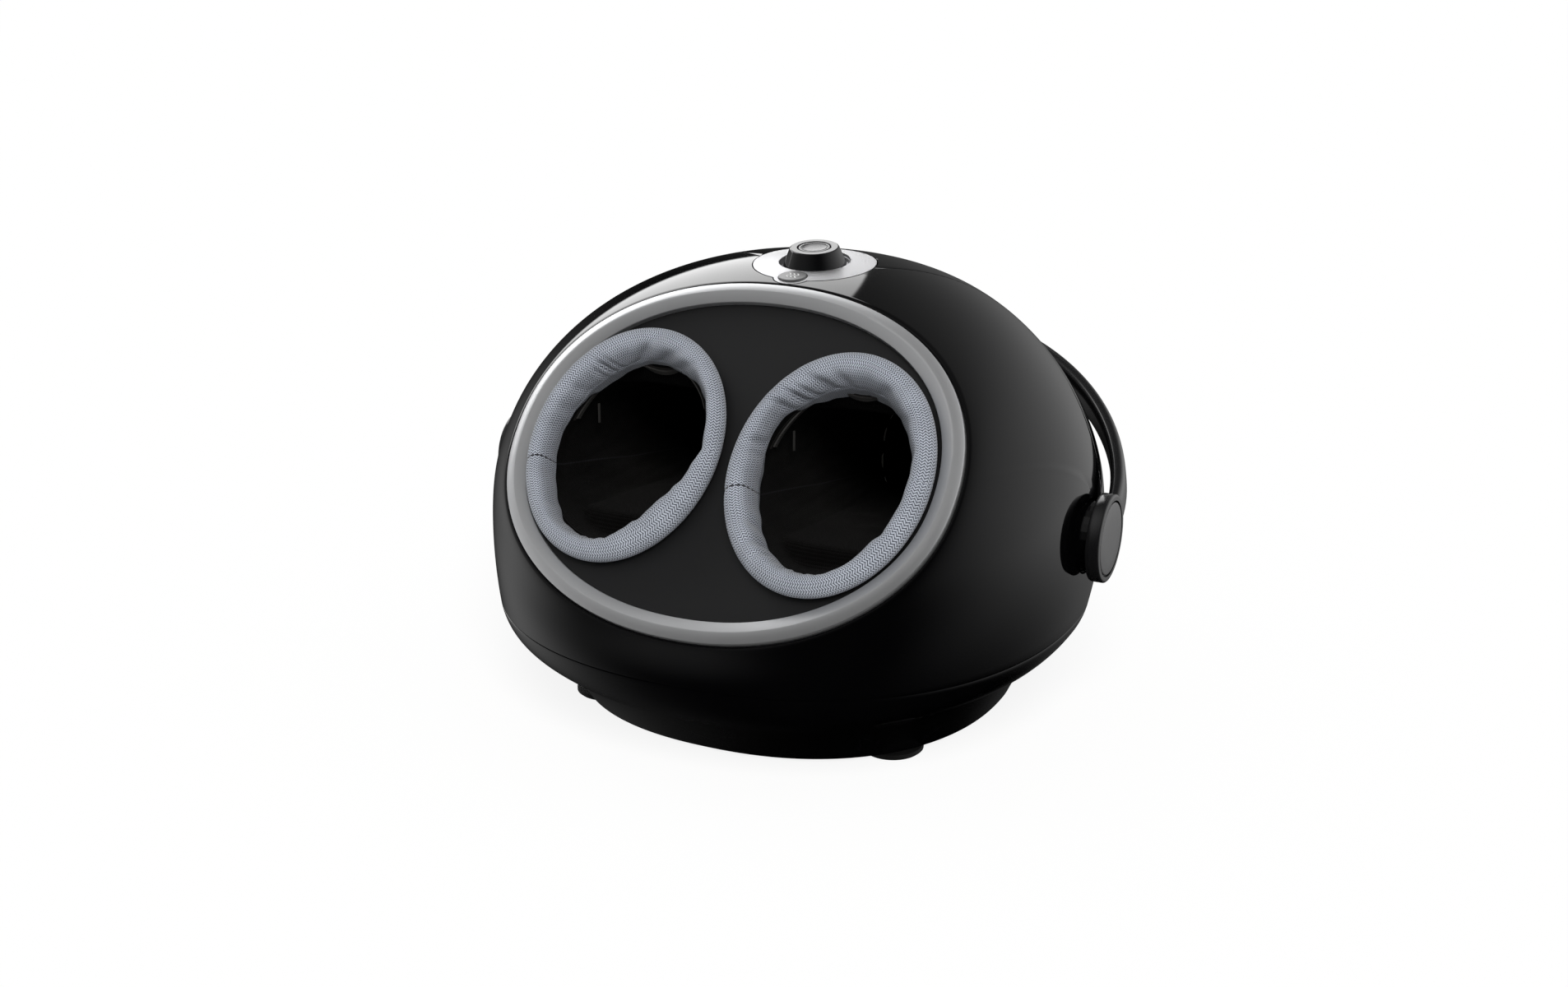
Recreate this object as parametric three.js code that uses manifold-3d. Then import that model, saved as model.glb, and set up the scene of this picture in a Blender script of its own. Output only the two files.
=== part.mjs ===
// Shiatsu foot massager: a domed shell on a low base, with a tilted oval panel at the front,
// two padded collars round the foot openings, a dial on top and a bail handle.
// Millimetres. X to the user's right, Y from front to back, Z up from the floor.
// The origin is on the floor under the middle of the whole machine.
import * as THREE from 'three';
import { mergeVertices } from 'three/addons/utils/BufferGeometryUtils.js';
import Module from 'manifold-3d';

const wasm = await Module();
wasm.setup();
const degree = Math.PI / 180;

// Fits
const gap = 0.3; // between pieces that touch
const overrun = 6; // a cutting tool runs this far past what it cuts
const wall = 3; // moulded shell wall
const chamfer = 1; // on turned and moulded edges
const fineChamfer = 0.5;

// Tilted front panel and its trim ring; h is measured out of the panel plane
const panelTilt = 48.4 * degree;
const panelY = -104;
const panelZ = 178;
const seamHalfWidth = 193; // the widest place of the shell
const ringSetback = 44.5;
const ringHalfWidth = seamHalfWidth - ringSetback;
const ringAbove = 127.5;
const ringBelow = 110.5;
const ringExponent = 2.13;
const ringEggShare = 0.047;
const ringWidth = 13.5;
const ringRidge = 6.5;
const ringRidgeHeight = 3.2;
const ringEdgeHeight = 0.4;
const ringSkirt = 3.6;
const ringSeatDepth = 7;
const ringSeatWidth = 12;
const shellEdge = 2.8;
const shellEdgeDepth = 2.7;
const panelThickness = 3;
const panelEdgeInset = 4;
const panelTop = -ringSeatDepth + gap + panelThickness;

// Shell: a dome from the trim ring down to the level seam
const seamY = 14;
const seamZ = 69;
const seamFront = 200;
const seamBack = 156;
const seamFrontExponent = 2.25;
const seamBackExponent = 2.05;
// Each of the next is given at the side, at the front and at the back of the dome
const domeStart = { side: 31 * degree, front: 68 * degree, back: 39 * degree };
// Turned outwards again towards the middle of the front, where the shell is lowest
const domeFrontTurn = -53 * degree;
const domeFrontExponent = 4;
const domeEnd = { side: 12.5 * degree, front: -1 * degree, back: 0 };
const domeStartShares = { side: 0.1, front: 0.22, back: 0.51 };
const domeEndShares = { side: 0.8, front: 0.34, back: 0.68 };
const domePoints = 36;
const domeRows = 7;
const crownSteps = 48;

// Lower shell and base
const rimZ = 37;
const rimSetback = 28;
const rimHalfWidth = seamHalfWidth - rimSetback;
const rimFront = 178;
const rimBack = 138;
const rimStart = { side: 14 * degree, front: 4 * degree, back: 4 * degree };
const rimTuck = 38 * degree;
const rimShare = 0.4;
const lowerRows = 3;
const lipWidth = 9;
const baseTopInset = 4;
const baseZ = 4;
const baseSetback = 21;
const baseHalfWidth = rimHalfWidth - baseSetback;
const baseFront = 146;
const baseBack = 121;
const footSetback = 42;
const footX = baseHalfWidth - footSetback;
const footFrontY = -76;
const footBackY = 98;
const footRadius = 20;
const footPoints = 20;

// Seam between front housing and rear cover, seen from above: x and y as shares of the half width
const archShares = [[0.1865, 0.1606], [0.3627, 0.2902], [0.5492, 0.3834], [0.7876, 0.3212], [1.0881, 0.114]];
const archSteps = 14;

// Foot openings
const panelRoom = ringHalfWidth - ringWidth;
const panelRise = ringAbove - ringWidth;
const openingPlaceShare = 0.5111;
const openingWidthShare = 0.3704;
const openingX = panelRoom * openingPlaceShare;
const openingRiseShare = 0.05877;
const openingLengthShare = 0.54912;
const openingV = panelRise * openingRiseShare;
const openingHalfWidth = panelRoom * openingWidthShare;
const openingHalfLength = panelRise * openingLengthShare;

// Padded collars: a cushion on the panel with a skirt of cloth that hangs into the opening
const collarWidthShare = 0.288;
const collarWidthX = openingHalfWidth * collarWidthShare;
const collarLengthShare = 0.27;
const collarWidthV = openingHalfLength * collarLengthShare;
const collarHeight = 16.4;
const collarFold = 1.6;
const collarFoldExponent = 4;
const collarSteps = 36;
const collarSkirt = 16;
const collarSkirtSlack = 0.6;
const collarCloth = 1.6;
const skirtClearance = 1.25;
const collarSectionShares = [
  [1, 0], [1.04, 0.3], [0.98, 0.62], [0.75, 0.9], [0.45, 1], [0.15, 0.92], [-0.02, 0.72], [-0.14, 0.4],
];
const skirtStartShare = 0.55;
const skirtFullShare = 0.05;

// Foot wells behind the openings
const soleSlope = 10 * degree;
const toeY = 96;
const toeFlare = 3;
const toeHalfWidth = openingHalfWidth + toeFlare;
const toeHeight = 84;
const toeLean = 12 * degree;
const toeExponent = 2.8;
const toeRounding = 16;
const toeFullShare = 0.5;
const toeShrinkShare = 0.6;
const toeLastShare = 0.5;
const roofBendShare = 0.5;
const roofDropShare = 0.15;
const wellWall = 2.5;
const wellFlange = 7;
const wellFlangeThickness = 2.5;
const wellPoints = 20;
const wellRows = 4;
const toeRows = 2;
const linerThickness = 1.5;
const linerLift = 11;
const linerMouthDepth = 10;

// Kneading drive; w is measured up from the floor of the foot wells
const kneaderY = -14;
const windowRadius = 34;
const headCircle = 21.5;
const headRadius = 9.5;
const headHeight = 13;
const headCount = 3;
const headSteps = 4;
const headPhaseShare = 0.25;
const discRadius = 32;
const discTop = -3;
const discThickness = 4;
const discHubDrop = 1.5;
const discHubWall = 5;
const gearTop = -10;
const gearThickness = 7;
const gearTeeth = 30;
const pinionTeeth = 9;
const toothRootShare = 1.2;
const toothTipShare = 0.9;
const toothCornerShares = [[0, -0.29], [1, -0.1], [1, 0.1], [0, 0.29]];
const driveShaftRadius = 4;
const bushRadius = 7;
const bushFlangeRadius = 9.5;
const bushFlange = 1.2;
const trayTop = -19;
const trayThickness = 3;
const trayHalfLength = 46;
const trayCornerRadius = 20;
const trayCornerPoints = 5;
const traySideReach = 34;
const postX = 52;
const postU = 33;
const postRadius = 6;
const motorRadius = 18.5;
const motorLength = 52;
const motorChamfer = 2;
const motorFlangeRadius = 24;
const motorFlange = 2.5;

// Heating pads over the instep
const heaterThickness = 1;
const heaterWidth = 76;
const heaterStartY = -10;
const heaterEndY = 85;
const heaterZ = 220;

// Controls on the crown
const controlY = 31;
const controlRadius = 40;
const heatButtonV = -34.5;
const heatButtonRadius = 9.3;
const heatLobeRadius = 12;
const controlSkin = 1.6;
const controlRise = 0.4;
const heatLedge = 1.5;
const controlLedge = 4;
const knobRadius = 20.5;
const knobTopRadius = 15.5;
const knobHeight = 9;
const knobBottom = -3.4;
const knobBevel = 0.8;
const knobShaftReach = 5;
const knobShaftRadius = 3;
const moatRadius = 23;
const moatWall = 1.2;
const moatDepth = 5.4;
const moatFloor = 1.5;
const pressRadius = 10.3;
const pressTravel = 1;
const pressDepth = 4.4;
const pressSunk = 0.2;
const pressClearance = 0.5;
const heatTravel = 0.8;
const heatProud = 0.9;
const heatFlange = 0.7;
const heatFlangeDepth = 4.6;
const heatFlangeThickness = 1.2;
const heatClearance = 0.1;
const heatBevelWidth = 0.8;
const heatBevelHeight = 0.6;
const boardDrop = 17;
const boardHalfWidth = 30;
const boardFront = 42;
const boardBack = 30;
const boardThickness = 1.6;
const boardPostReach = 29;
const boardPostRadius = 2.5;
const boardPostPoints = 8;
const encoderHalf = 7;
const encoderTop = -7.3;
const heatSwitchHalf = 3.5;
const heatSwitchDrop = 1;

// Handle and its pivots
const pivotY = 3;
const pivotZ = 130;
const bailLean = 25 * degree;
const bailClearance = 18.3;
const bailHalfWidth = seamHalfWidth + bailClearance;
const bailStandoff = 15.6;
const bailThickness = 10;
const bailTuck = 2.7; // its ends tuck in and thin out to meet the eyes
const bailThinning = 2;
const bailTuckShare = 0.25;
const bailDepth = 24;
const bailExponent = 3.2;
const bailSteps = 24;
const bailSectionPoints = 8;
const bailOverlap = 5 * degree;
const eyeRadius = 27.8;
const eyeThickness = 8.8;
const eyeOuterX = bailHalfWidth + bailThickness / 2 - bailTuck;
const eyeInnerX = eyeOuterX - eyeThickness;
const capRadius = 23.2;
const capGroove = 0.8;
const capDepth = 2.6;
const capCrown = 0.9;
const capProfileShares = [[1, -0.9], [0.969, 0], [0.6, 0.7], [0, 1]];
const pinRadius = 6;
const pinHeadRadius = 11;
const pinHead = 2.6;
const pinSetback = 15;
const pinInnerX = seamHalfWidth - pinSetback;
const bossSink = 19;
const bossRadius = 22;
const bossSleeveRadius = 10;
const bossFlangeRadius = 37;
const bossInnerX = seamHalfWidth - bossSink;
const bossFaceX = eyeInnerX - chamfer;
const notchRadius = 24.3;

// Mains adaptor socket low at the back
const socketFaceY = 164.5;
const socketZ = 55;
const socketRadius = 5.7;
const socketBore = 3;
const socketDepth = 9;
const socketLength = 22;
const socketFlangeRadius = 8.5;
const socketFlangeDepth = 10;

// Facets of round pieces
const roundPoints = 28;
const smallPoints = 14;

// Small helpers

function signedPower(value, power) {
  return Math.sign(value) * Math.abs(value) ** power;
}

function mix(a, b, share) {
  return a + (b - a) * share;
}

// Goes smoothly from 0 at one value to 1 at the other
function ease(low, high, value) {
  const share = Math.min(1, Math.max(0, (value - low) / (high - low)));
  return share * share * (3 - 2 * share);
}

function aroundDome(values, angle) {
  const s = Math.sin(angle);
  return mix(values.side, s > 0 ? values.back : values.front, s * s);
}

function circlePoints(radius, count, centreX = 0, centreY = 0) {
  const points = [];
  for (let i = 0; i < count; i++) {
    const angle = (i / count) * 2 * Math.PI;
    points.push(new THREE.Vector2(centreX + radius * Math.cos(angle), centreY + radius * Math.sin(angle)));
  }
  return points;
}

function ellipsePoints(halfX, halfY, count, centreX, centreY) {
  return circlePoints(1, count).map(
    (p) => new THREE.Vector2(centreX + p.x * halfX, centreY + p.y * halfY),
  );
}

// A geometry from points and triangles, turned so that its faces point outwards
function bodyFrom(positions, triangles) {
  const a = new THREE.Vector3();
  const b = new THREE.Vector3();
  const c = new THREE.Vector3();
  let volume = 0;
  for (let i = 0; i < triangles.length; i += 3) {
    a.fromArray(positions, 3 * triangles[i]);
    b.fromArray(positions, 3 * triangles[i + 1]);
    c.fromArray(positions, 3 * triangles[i + 2]);
    volume += a.dot(b.cross(c));
  }
  const faces = volume < 0 ? triangles.slice().reverse() : triangles;
  const geometry = new THREE.BufferGeometry();
  geometry.setAttribute('position', new THREE.Float32BufferAttribute(positions, 3));
  geometry.setIndex(faces);
  return geometry;
}

function stitchRows(rings, closeRows) {
  const count = rings[0].length;
  const triangles = [];
  const rows = closeRows ? rings.length : rings.length - 1;
  for (let row = 0; row < rows; row++) {
    const next = (row + 1) % rings.length;
    for (let i = 0; i < count; i++) {
      const j = (i + 1) % count;
      const corners = [row * count + i, row * count + j, next * count + j, next * count + i];
      triangles.push(corners[0], corners[1], corners[2], corners[0], corners[2], corners[3]);
    }
  }
  return triangles;
}

// A solid through rings of points, its two ends closed by fans
function loft(rings) {
  const count = rings[0].length;
  const positions = rings.flat().flatMap((p) => [p.x, p.y, p.z]);
  const triangles = stitchRows(rings, false);
  const ends = [[0, true], [rings.length - 1, false]];
  for (const [row, first] of ends) {
    const centre = new THREE.Vector3();
    rings[row].forEach((p) => centre.add(p));
    centre.divideScalar(count);
    const hub = positions.length / 3;
    positions.push(centre.x, centre.y, centre.z);
    for (let i = 0; i < count; i++) {
      const a = row * count + i;
      const b = row * count + ((i + 1) % count);
      triangles.push(...(first ? [hub, b, a] : [hub, a, b]));
    }
  }
  return bodyFrom(positions, triangles);
}

// A solid ring through sections that come back to the first
function hoop(sections) {
  const positions = sections.flat().flatMap((p) => [p.x, p.y, p.z]);
  return bodyFrom(positions, stitchRows(sections, true));
}

function toSolid(geometry) {
  const bare = geometry.clone();
  bare.deleteAttribute('normal');
  bare.deleteAttribute('uv');
  const merged = mergeVertices(bare);
  return new wasm.Manifold(new wasm.Mesh({
    numProp: 3,
    vertProperties: merged.attributes.position.array,
    triVerts: Uint32Array.from(merged.index.array),
  }));
}

function toGeometry(solid) {
  const { vertProperties, triVerts } = solid.getMesh();
  const geometry = new THREE.BufferGeometry();
  geometry.setAttribute('position', new THREE.Float32BufferAttribute(vertProperties, 3));
  geometry.setIndex(new THREE.Uint32BufferAttribute(triVerts, 1));
  return geometry;
}

// An outline in x and y, drawn out from bottom to top along z
function prism(outline, bottom, top, holes = []) {
  const shape = new THREE.Shape(outline);
  holes.forEach((hole) => shape.holes.push(new THREE.Path(hole)));
  const geometry = new THREE.ExtrudeGeometry(shape, { depth: top - bottom, bevelEnabled: false });
  return geometry.translate(0, 0, bottom);
}

// A turned piece about z, from points of radius and height that start and end on the axis
function turned(profile, count = roundPoints) {
  const points = profile.map(([radius, height]) => new THREE.Vector2(radius, height));
  return new THREE.LatheGeometry(points, count).rotateX(Math.PI / 2);
}

function rod(radius, bottom, top, count = smallPoints) {
  return turned([[0, bottom], [radius, bottom], [radius, top], [0, top]], count);
}

// Turns a piece made about z so that it lies along x, on the given side
function alongX(geometry, side) {
  return geometry.rotateY((side * Math.PI) / 2);
}

// Frames

const panelFrame = new THREE.Group();
panelFrame.position.set(0, panelY, panelZ);
panelFrame.rotation.x = panelTilt;
panelFrame.updateMatrix();

function panelPoint(x, v, h) {
  return new THREE.Vector3(x, v, h).applyMatrix4(panelFrame.matrix);
}

function ringPoint(angle, inset) {
  const s = Math.sin(angle);
  const length = (s > 0 ? ringAbove : ringBelow) - inset;
  const v = length * signedPower(s, 2 / ringExponent);
  const egg = 1 + (ringEggShare * v) / (ringAbove - inset);
  const x = (ringHalfWidth - inset) * signedPower(Math.cos(angle), 2 / ringExponent) * egg;
  return new THREE.Vector2(x, v);
}

function ringOutline(inset) {
  const points = [];
  for (let i = 0; i < domePoints; i++) points.push(ringPoint((i / domePoints) * 2 * Math.PI, inset));
  return points;
}

// Level outlines of the body at the seam, the rim and the base
function levelPoint(angle, outline, inset) {
  const s = Math.sin(angle);
  const exponent = s > 0 ? seamBackExponent : seamFrontExponent;
  const depth = (s > 0 ? outline.back : outline.front) - inset;
  return new THREE.Vector3(
    (outline.halfWidth - inset) * signedPower(Math.cos(angle), 2 / exponent),
    seamY + depth * signedPower(s, 2 / exponent),
    outline.z,
  );
}

const seam = { halfWidth: seamHalfWidth, front: seamFront, back: seamBack, z: seamZ };
const rim = { halfWidth: rimHalfWidth, front: rimFront, back: rimBack, z: rimZ };
const baseBottom = { halfWidth: baseHalfWidth, front: baseFront, back: baseBack, z: baseZ };
const baseTop = {
  halfWidth: rimHalfWidth - baseTopInset,
  front: rimFront - baseTopInset,
  back: rimBack - baseTopInset,
  z: rimZ - gap,
};

function outwardAt(angle, outline) {
  const p = levelPoint(angle, outline, 0);
  const depth = Math.sin(angle) > 0 ? outline.back : outline.front;
  return new THREE.Vector3(p.x / outline.halfWidth ** 2, (p.y - seamY) / depth ** 2, 0).normalize();
}

function levelOutline(outline, inset) {
  const points = [];
  for (let i = 0; i < domePoints; i++) {
    const p = levelPoint((i / domePoints) * 2 * Math.PI, outline, inset);
    points.push(new THREE.Vector2(p.x, p.y));
  }
  return points;
}

// Shell solids

function domeMeridian(angle) {
  const edge = ringPoint(angle, -shellEdge);
  const start = panelPoint(edge.x, edge.y, -shellEdgeDepth);
  const end = levelPoint(angle, seam, 0);
  const ringDepth = (ringAbove + ringBelow) / 2;
  const across = new THREE.Vector2(edge.x / ringHalfWidth ** 2, edge.y / ringDepth ** 2).normalize();
  const lowFront = Math.abs(Math.min(Math.sin(angle), 0)) ** domeFrontExponent;
  const drop = aroundDome(domeStart, angle) + domeFrontTurn * lowFront;
  const outwards = panelPoint(across.x, across.y, 0).sub(panelFrame.position);
  const normal = panelPoint(0, 0, 1).sub(panelFrame.position);
  const chord = start.distanceTo(end);
  const leave = outwards.multiplyScalar(Math.cos(drop)).addScaledVector(normal, -Math.sin(drop));
  const bulge = aroundDome(domeEnd, angle);
  const arrive = outwardAt(angle, seam).multiplyScalar(Math.sin(bulge)).setZ(Math.cos(bulge));
  return new THREE.CubicBezierCurve3(
    start,
    start.clone().addScaledVector(leave, aroundDome(domeStartShares, angle) * chord),
    end.clone().addScaledVector(arrive, aroundDome(domeEndShares, angle) * chord),
    end,
  );
}

// Rings of points around the body, from a meridian curve for each angle
function ringsFrom(meridian, rows) {
  const lines = [];
  for (let i = 0; i < domePoints; i++) {
    lines.push(meridian((i / domePoints) * 2 * Math.PI).getPoints(rows));
  }
  return lines[0].map((_, row) => lines.map((points) => points[row]));
}

// The same rings, each point moved inwards square to the surface
function insetRings(rings, distance) {
  const last = rings.length - 1;
  const count = rings[0].length;
  return rings.map((ring, row) => ring.map((p, i) => {
    const around = ring[(i + 1) % count].clone().sub(ring[(i + count - 1) % count]);
    const down = rings[Math.min(row + 1, last)][i].clone().sub(rings[Math.max(row - 1, 0)][i]);
    return p.clone().addScaledVector(down.cross(around).normalize(), -distance);
  }));
}

const domeRings = ringsFrom(domeMeridian, domeRows);

// The dome grown inwards by inset, and run on below the seam by foot
function domeSolid(inset, foot) {
  const rings = insetRings(domeRings, inset);
  if (foot > 0) rings.push(rings[domeRows].map((p) => p.clone().setZ(seamZ - foot)));
  return toSolid(loft(rings));
}

// Height of the crown over the middle line at a given y
function crownHeight(y) {
  const points = domeMeridian(Math.PI / 2).getPoints(crownSteps);
  const i = points.findIndex((p) => p.y > y);
  const share = (y - points[i - 1].y) / (points[i].y - points[i - 1].y);
  return mix(points[i - 1].z, points[i].z, share);
}

// How far the back of the shell stands from the pivots of the handle
function shellReach() {
  const points = domeMeridian(Math.PI / 2).getPoints(crownSteps);
  return Math.max(...points.map((p) => Math.hypot(p.y - pivotY, p.z - pivotZ)));
}

const bailReach = shellReach() + bailStandoff;

const controlFrame = new THREE.Group();
const controlTilt = Math.atan2(
  crownHeight(controlY) - crownHeight(controlY + heatButtonV),
  -heatButtonV,
);
controlFrame.position.set(0, controlY, crownHeight(controlY));
controlFrame.rotation.x = controlTilt;
controlFrame.updateMatrix();

// The outline of the dial plate, a circle with a lobe for the heat button, as a tall prism
function controlPrism(grow, high) {
  const low = -boardDrop;
  const round = toSolid(prism(circlePoints(controlRadius + grow, roundPoints), low, high));
  const lobeGrow = Math.max(grow, -heatLedge);
  const lobe = circlePoints(heatLobeRadius + lobeGrow, smallPoints, 0, heatButtonV);
  const both = round.add(toSolid(prism(lobe, low, high)));
  return toSolid(toGeometry(both).applyMatrix4(controlFrame.matrix));
}

// Everything behind the arch seam, seen from above
function behindArch(shift) {
  const curve = new THREE.CatmullRomCurve3(archShares.map(
    ([x, y]) => new THREE.Vector3(x * seamHalfWidth, y * seamHalfWidth + shift, 0),
  ));
  const right = curve.getPoints(archSteps);
  const reach = bailHalfWidth + overrun;
  const far = seamY + seamBack + wall + overrun + reach;
  const outline = [
    ...right.slice().reverse().map((p) => new THREE.Vector2(-p.x, p.y)),
    ...right.map((p) => new THREE.Vector2(p.x, p.y)),
    new THREE.Vector2(reach, right[right.length - 1].y),
    new THREE.Vector2(reach, far),
    new THREE.Vector2(-reach, far),
    new THREE.Vector2(-reach, right[right.length - 1].y),
  ];
  return toSolid(prism(outline, 0, panelZ + ringAbove));
}

function pivotCutter(radius, innerX, outerX) {
  const tool = (side) => {
    const geometry = alongX(rod(radius, innerX, outerX, roundPoints), side);
    return toSolid(geometry.translate(0, pivotY, pivotZ));
  };
  return tool(1).add(tool(-1));
}

const domeOuter = domeSolid(0, 0);

function upperShell() {
  const inPanel = (outline, bottom) => (
    toSolid(prism(outline, bottom, ringAbove).applyMatrix4(panelFrame.matrix))
  );
  const flangeBottom = -ringSeatDepth - wall;
  const cavity = domeSolid(wall, overrun).subtract(inPanel(ringOutline(-ringAbove), flangeBottom));
  const pocket = controlPrism(gap, knobHeight).subtract(domeSolid(controlSkin + gap, 0));
  return domeOuter
    .subtract(cavity)
    .subtract(inPanel(ringOutline(-gap), -ringSeatDepth))
    .subtract(inPanel(ringOutline(ringSeatWidth), flangeBottom - overrun))
    .subtract(pocket)
    .subtract(controlPrism(-controlLedge, knobHeight))
    .subtract(pivotCutter(notchRadius, bossInnerX, bailHalfWidth));
}

function lowerMeridian(angle) {
  const start = levelPoint(angle, seam, 0).setZ(seamZ - gap);
  const end = levelPoint(angle, rim, 0);
  const outwards = outwardAt(angle, seam);
  const chord = start.distanceTo(end);
  const lean = aroundDome(rimStart, angle);
  const leave = outwards.clone().multiplyScalar(-Math.sin(lean)).setZ(-Math.cos(lean));
  const arrive = outwards.clone().multiplyScalar(Math.cos(rimTuck)).setZ(Math.sin(rimTuck));
  return new THREE.CubicBezierCurve3(
    start,
    start.clone().addScaledVector(leave, rimShare * chord),
    end.clone().addScaledVector(arrive, rimShare * chord),
    end,
  );
}

const lowerRings = ringsFrom(lowerMeridian, lowerRows);

function lowerInside(distance) {
  const inner = insetRings(lowerRings, distance);
  inner.unshift(inner[0].map((p) => p.clone().setZ(seamZ + overrun)));
  return toSolid(loft(inner));
}

function lowerShell() {
  const hole = prism(levelOutline(rim, lipWidth), rimZ - overrun, rimZ + wall + overrun);
  const jack = rod(socketRadius + gap, 0, seamBack + overrun + wall).rotateX(-Math.PI / 2);
  return toSolid(loft(lowerRings))
    .subtract(lowerInside(wall))
    .subtract(toSolid(hole))
    .subtract(toSolid(jack.translate(0, seamY, socketZ)));
}

// Foot wells

const wellMouth = -ringSeatDepth;
const mouthLow = panelPoint(0, openingV - openingHalfLength, wellMouth);
const mouthHigh = panelPoint(0, openingV + openingHalfLength, wellMouth);
const toeLow = new THREE.Vector3(0, toeY, mouthLow.z - (toeY - mouthLow.y) * Math.tan(soleSlope));

// One ring of a foot well; share runs from 0 at the mouth to 1 where the toe end rounds off
function wellRing(side, share, inset) {
  const low = mouthLow.clone().lerp(toeLow, share);
  const toeHigh = toeLow.clone();
  toeHigh.y += toeHeight * Math.sin(toeLean);
  toeHigh.z += toeHeight * Math.cos(toeLean);
  const bend = toeHigh.clone();
  bend.y = mix(mouthHigh.y, toeHigh.y, roofBendShare);
  bend.z = mix(mouthHigh.z, toeHigh.z, roofDropShare);
  const high = new THREE.QuadraticBezierCurve3(mouthHigh, bend, toeHigh).getPoint(share);
  const up = high.clone().sub(low).normalize();
  const half = low.distanceTo(high) / 2 - inset;
  const centre = low.clone().add(high).divideScalar(2);
  const width = mix(openingHalfWidth, toeHalfWidth, share) - inset;
  const exponent = mix(2, toeExponent, Math.min(1, share / toeFullShare));
  const ring = [];
  for (let i = 0; i < wellPoints; i++) {
    const angle = (i / wellPoints) * 2 * Math.PI;
    const x = width * signedPower(Math.cos(angle), 2 / exponent);
    const y = half * signedPower(Math.sin(angle), 2 / exponent);
    const point = centre.clone().addScaledVector(up, y);
    point.x = side * openingX + x;
    ring.push(point);
  }
  return { ring, up, centre };
}

function wellSolid(side, inset, before) {
  const rings = [];
  if (before > 0) {
    const out = panelPoint(0, 0, before).sub(panelFrame.position);
    rings.push(wellRing(side, 0, inset).ring.map((p) => p.clone().add(out)));
  }
  for (let row = 0; row <= wellRows; row++) rings.push(wellRing(side, row / wellRows, inset).ring);
  const { ring, up, centre } = wellRing(side, 1, inset);
  centre.x = side * openingX;
  const forward = new THREE.Vector3(0, up.z, -up.y);
  for (let step = 1; step <= toeRows; step++) {
    const turn = (step / (toeRows + toeLastShare)) * (Math.PI / 2);
    const reach = (toeRounding - inset) * Math.sin(turn);
    const shrink = 1 - (1 - Math.cos(turn)) * toeShrinkShare;
    rings.push(ring.map((p) => centre.clone().lerp(p, shrink).addScaledVector(forward, reach)));
  }
  return toSolid(loft(rings));
}

const kneaderShare = (kneaderY - mouthLow.y) / (toeY - mouthLow.y);
const soleFrame = new THREE.Group();
soleFrame.position.copy(mouthLow.clone().lerp(toeLow, kneaderShare));
soleFrame.rotation.x = -soleSlope;
soleFrame.updateMatrix();

function footWell(side) {
  const centreX = side * openingX;
  const flangeOutline = ellipsePoints(
    openingHalfWidth + wellFlange, openingHalfLength + wellFlange, wellPoints, centreX, openingV,
  );
  const flangeTop = wellMouth - gap;
  const flange = prism(flangeOutline, flangeTop - wellFlangeThickness, flangeTop);
  const window = rod(windowRadius, discTop - overrun, linerLift, roundPoints).translate(centreX, 0, 0);
  const above = prism(ringOutline(0), flangeTop - wellFlangeThickness / 2, ringAbove);
  return wellSolid(side, -wellWall, 0)
    .subtract(toSolid(above.applyMatrix4(panelFrame.matrix)))
    .add(toSolid(flange.applyMatrix4(panelFrame.matrix)))
    .subtract(wellSolid(side, 0, overrun))
    .subtract(toSolid(window.applyMatrix4(soleFrame.matrix)));
}

// A block over the floor of the wells, from the given height up
function aboveSole(height) {
  const reach = 2 * bailHalfWidth;
  const block = new THREE.BoxGeometry(reach, reach, reach).translate(0, 0, height + reach / 2);
  return toSolid(block.applyMatrix4(soleFrame.matrix));
}

// The lining lies over the heads as a raised floor, with a step down to the mouth
function liner(side) {
  const rimTop = panelTop - gap;
  const above = (bottom) => toSolid(prism(ringOutline(0), bottom, ringAbove).applyMatrix4(panelFrame.matrix));
  const room = (lift, mouth) => aboveSole(lift).add(above(mouth));
  const inside = wellSolid(side, gap + linerThickness, overrun + overrun);
  return wellSolid(side, gap, overrun)
    .intersect(room(linerLift, -linerMouthDepth))
    .subtract(above(rimTop))
    .subtract(inside.intersect(room(linerLift + linerThickness, linerThickness - linerMouthDepth)));
}

// A thin pad that lies on the outside of the well's roof
function heatingPad(side) {
  const block = new THREE.BoxGeometry(heaterWidth, heaterEndY - heaterStartY, toeHeight);
  block.translate(side * openingX, (heaterStartY + heaterEndY) / 2, heaterZ);
  return wellSolid(side, -wellWall - gap - heaterThickness, 0)
    .subtract(wellSolid(side, -wellWall - gap, overrun))
    .intersect(toSolid(block));
}

// Trim ring, panel and collars, in the panel frame

function trimRing() {
  const bottom = -ringSeatDepth + gap;
  const under = panelTop + gap;
  const profile = [
    [0, bottom],
    [0, ringEdgeHeight],
    [ringRidge, ringRidgeHeight],
    [ringWidth, ringEdgeHeight],
    [ringWidth, under],
    [ringSkirt, under],
    [ringSkirt, bottom],
  ];
  const sections = [];
  for (let i = 0; i < domePoints; i++) {
    const angle = (i / domePoints) * 2 * Math.PI;
    sections.push(profile.map(([inset, h]) => {
      const p = ringPoint(angle, inset);
      return new THREE.Vector3(p.x, p.y, h);
    }));
  }
  return hoop(sections);
}

function frontPanel() {
  const holes = [-1, 1].map(
    (side) => ellipsePoints(openingHalfWidth, openingHalfLength, wellPoints, side * openingX, openingV),
  );
  return prism(ringOutline(panelEdgeInset), panelTop - panelThickness, panelTop, holes);
}

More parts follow.
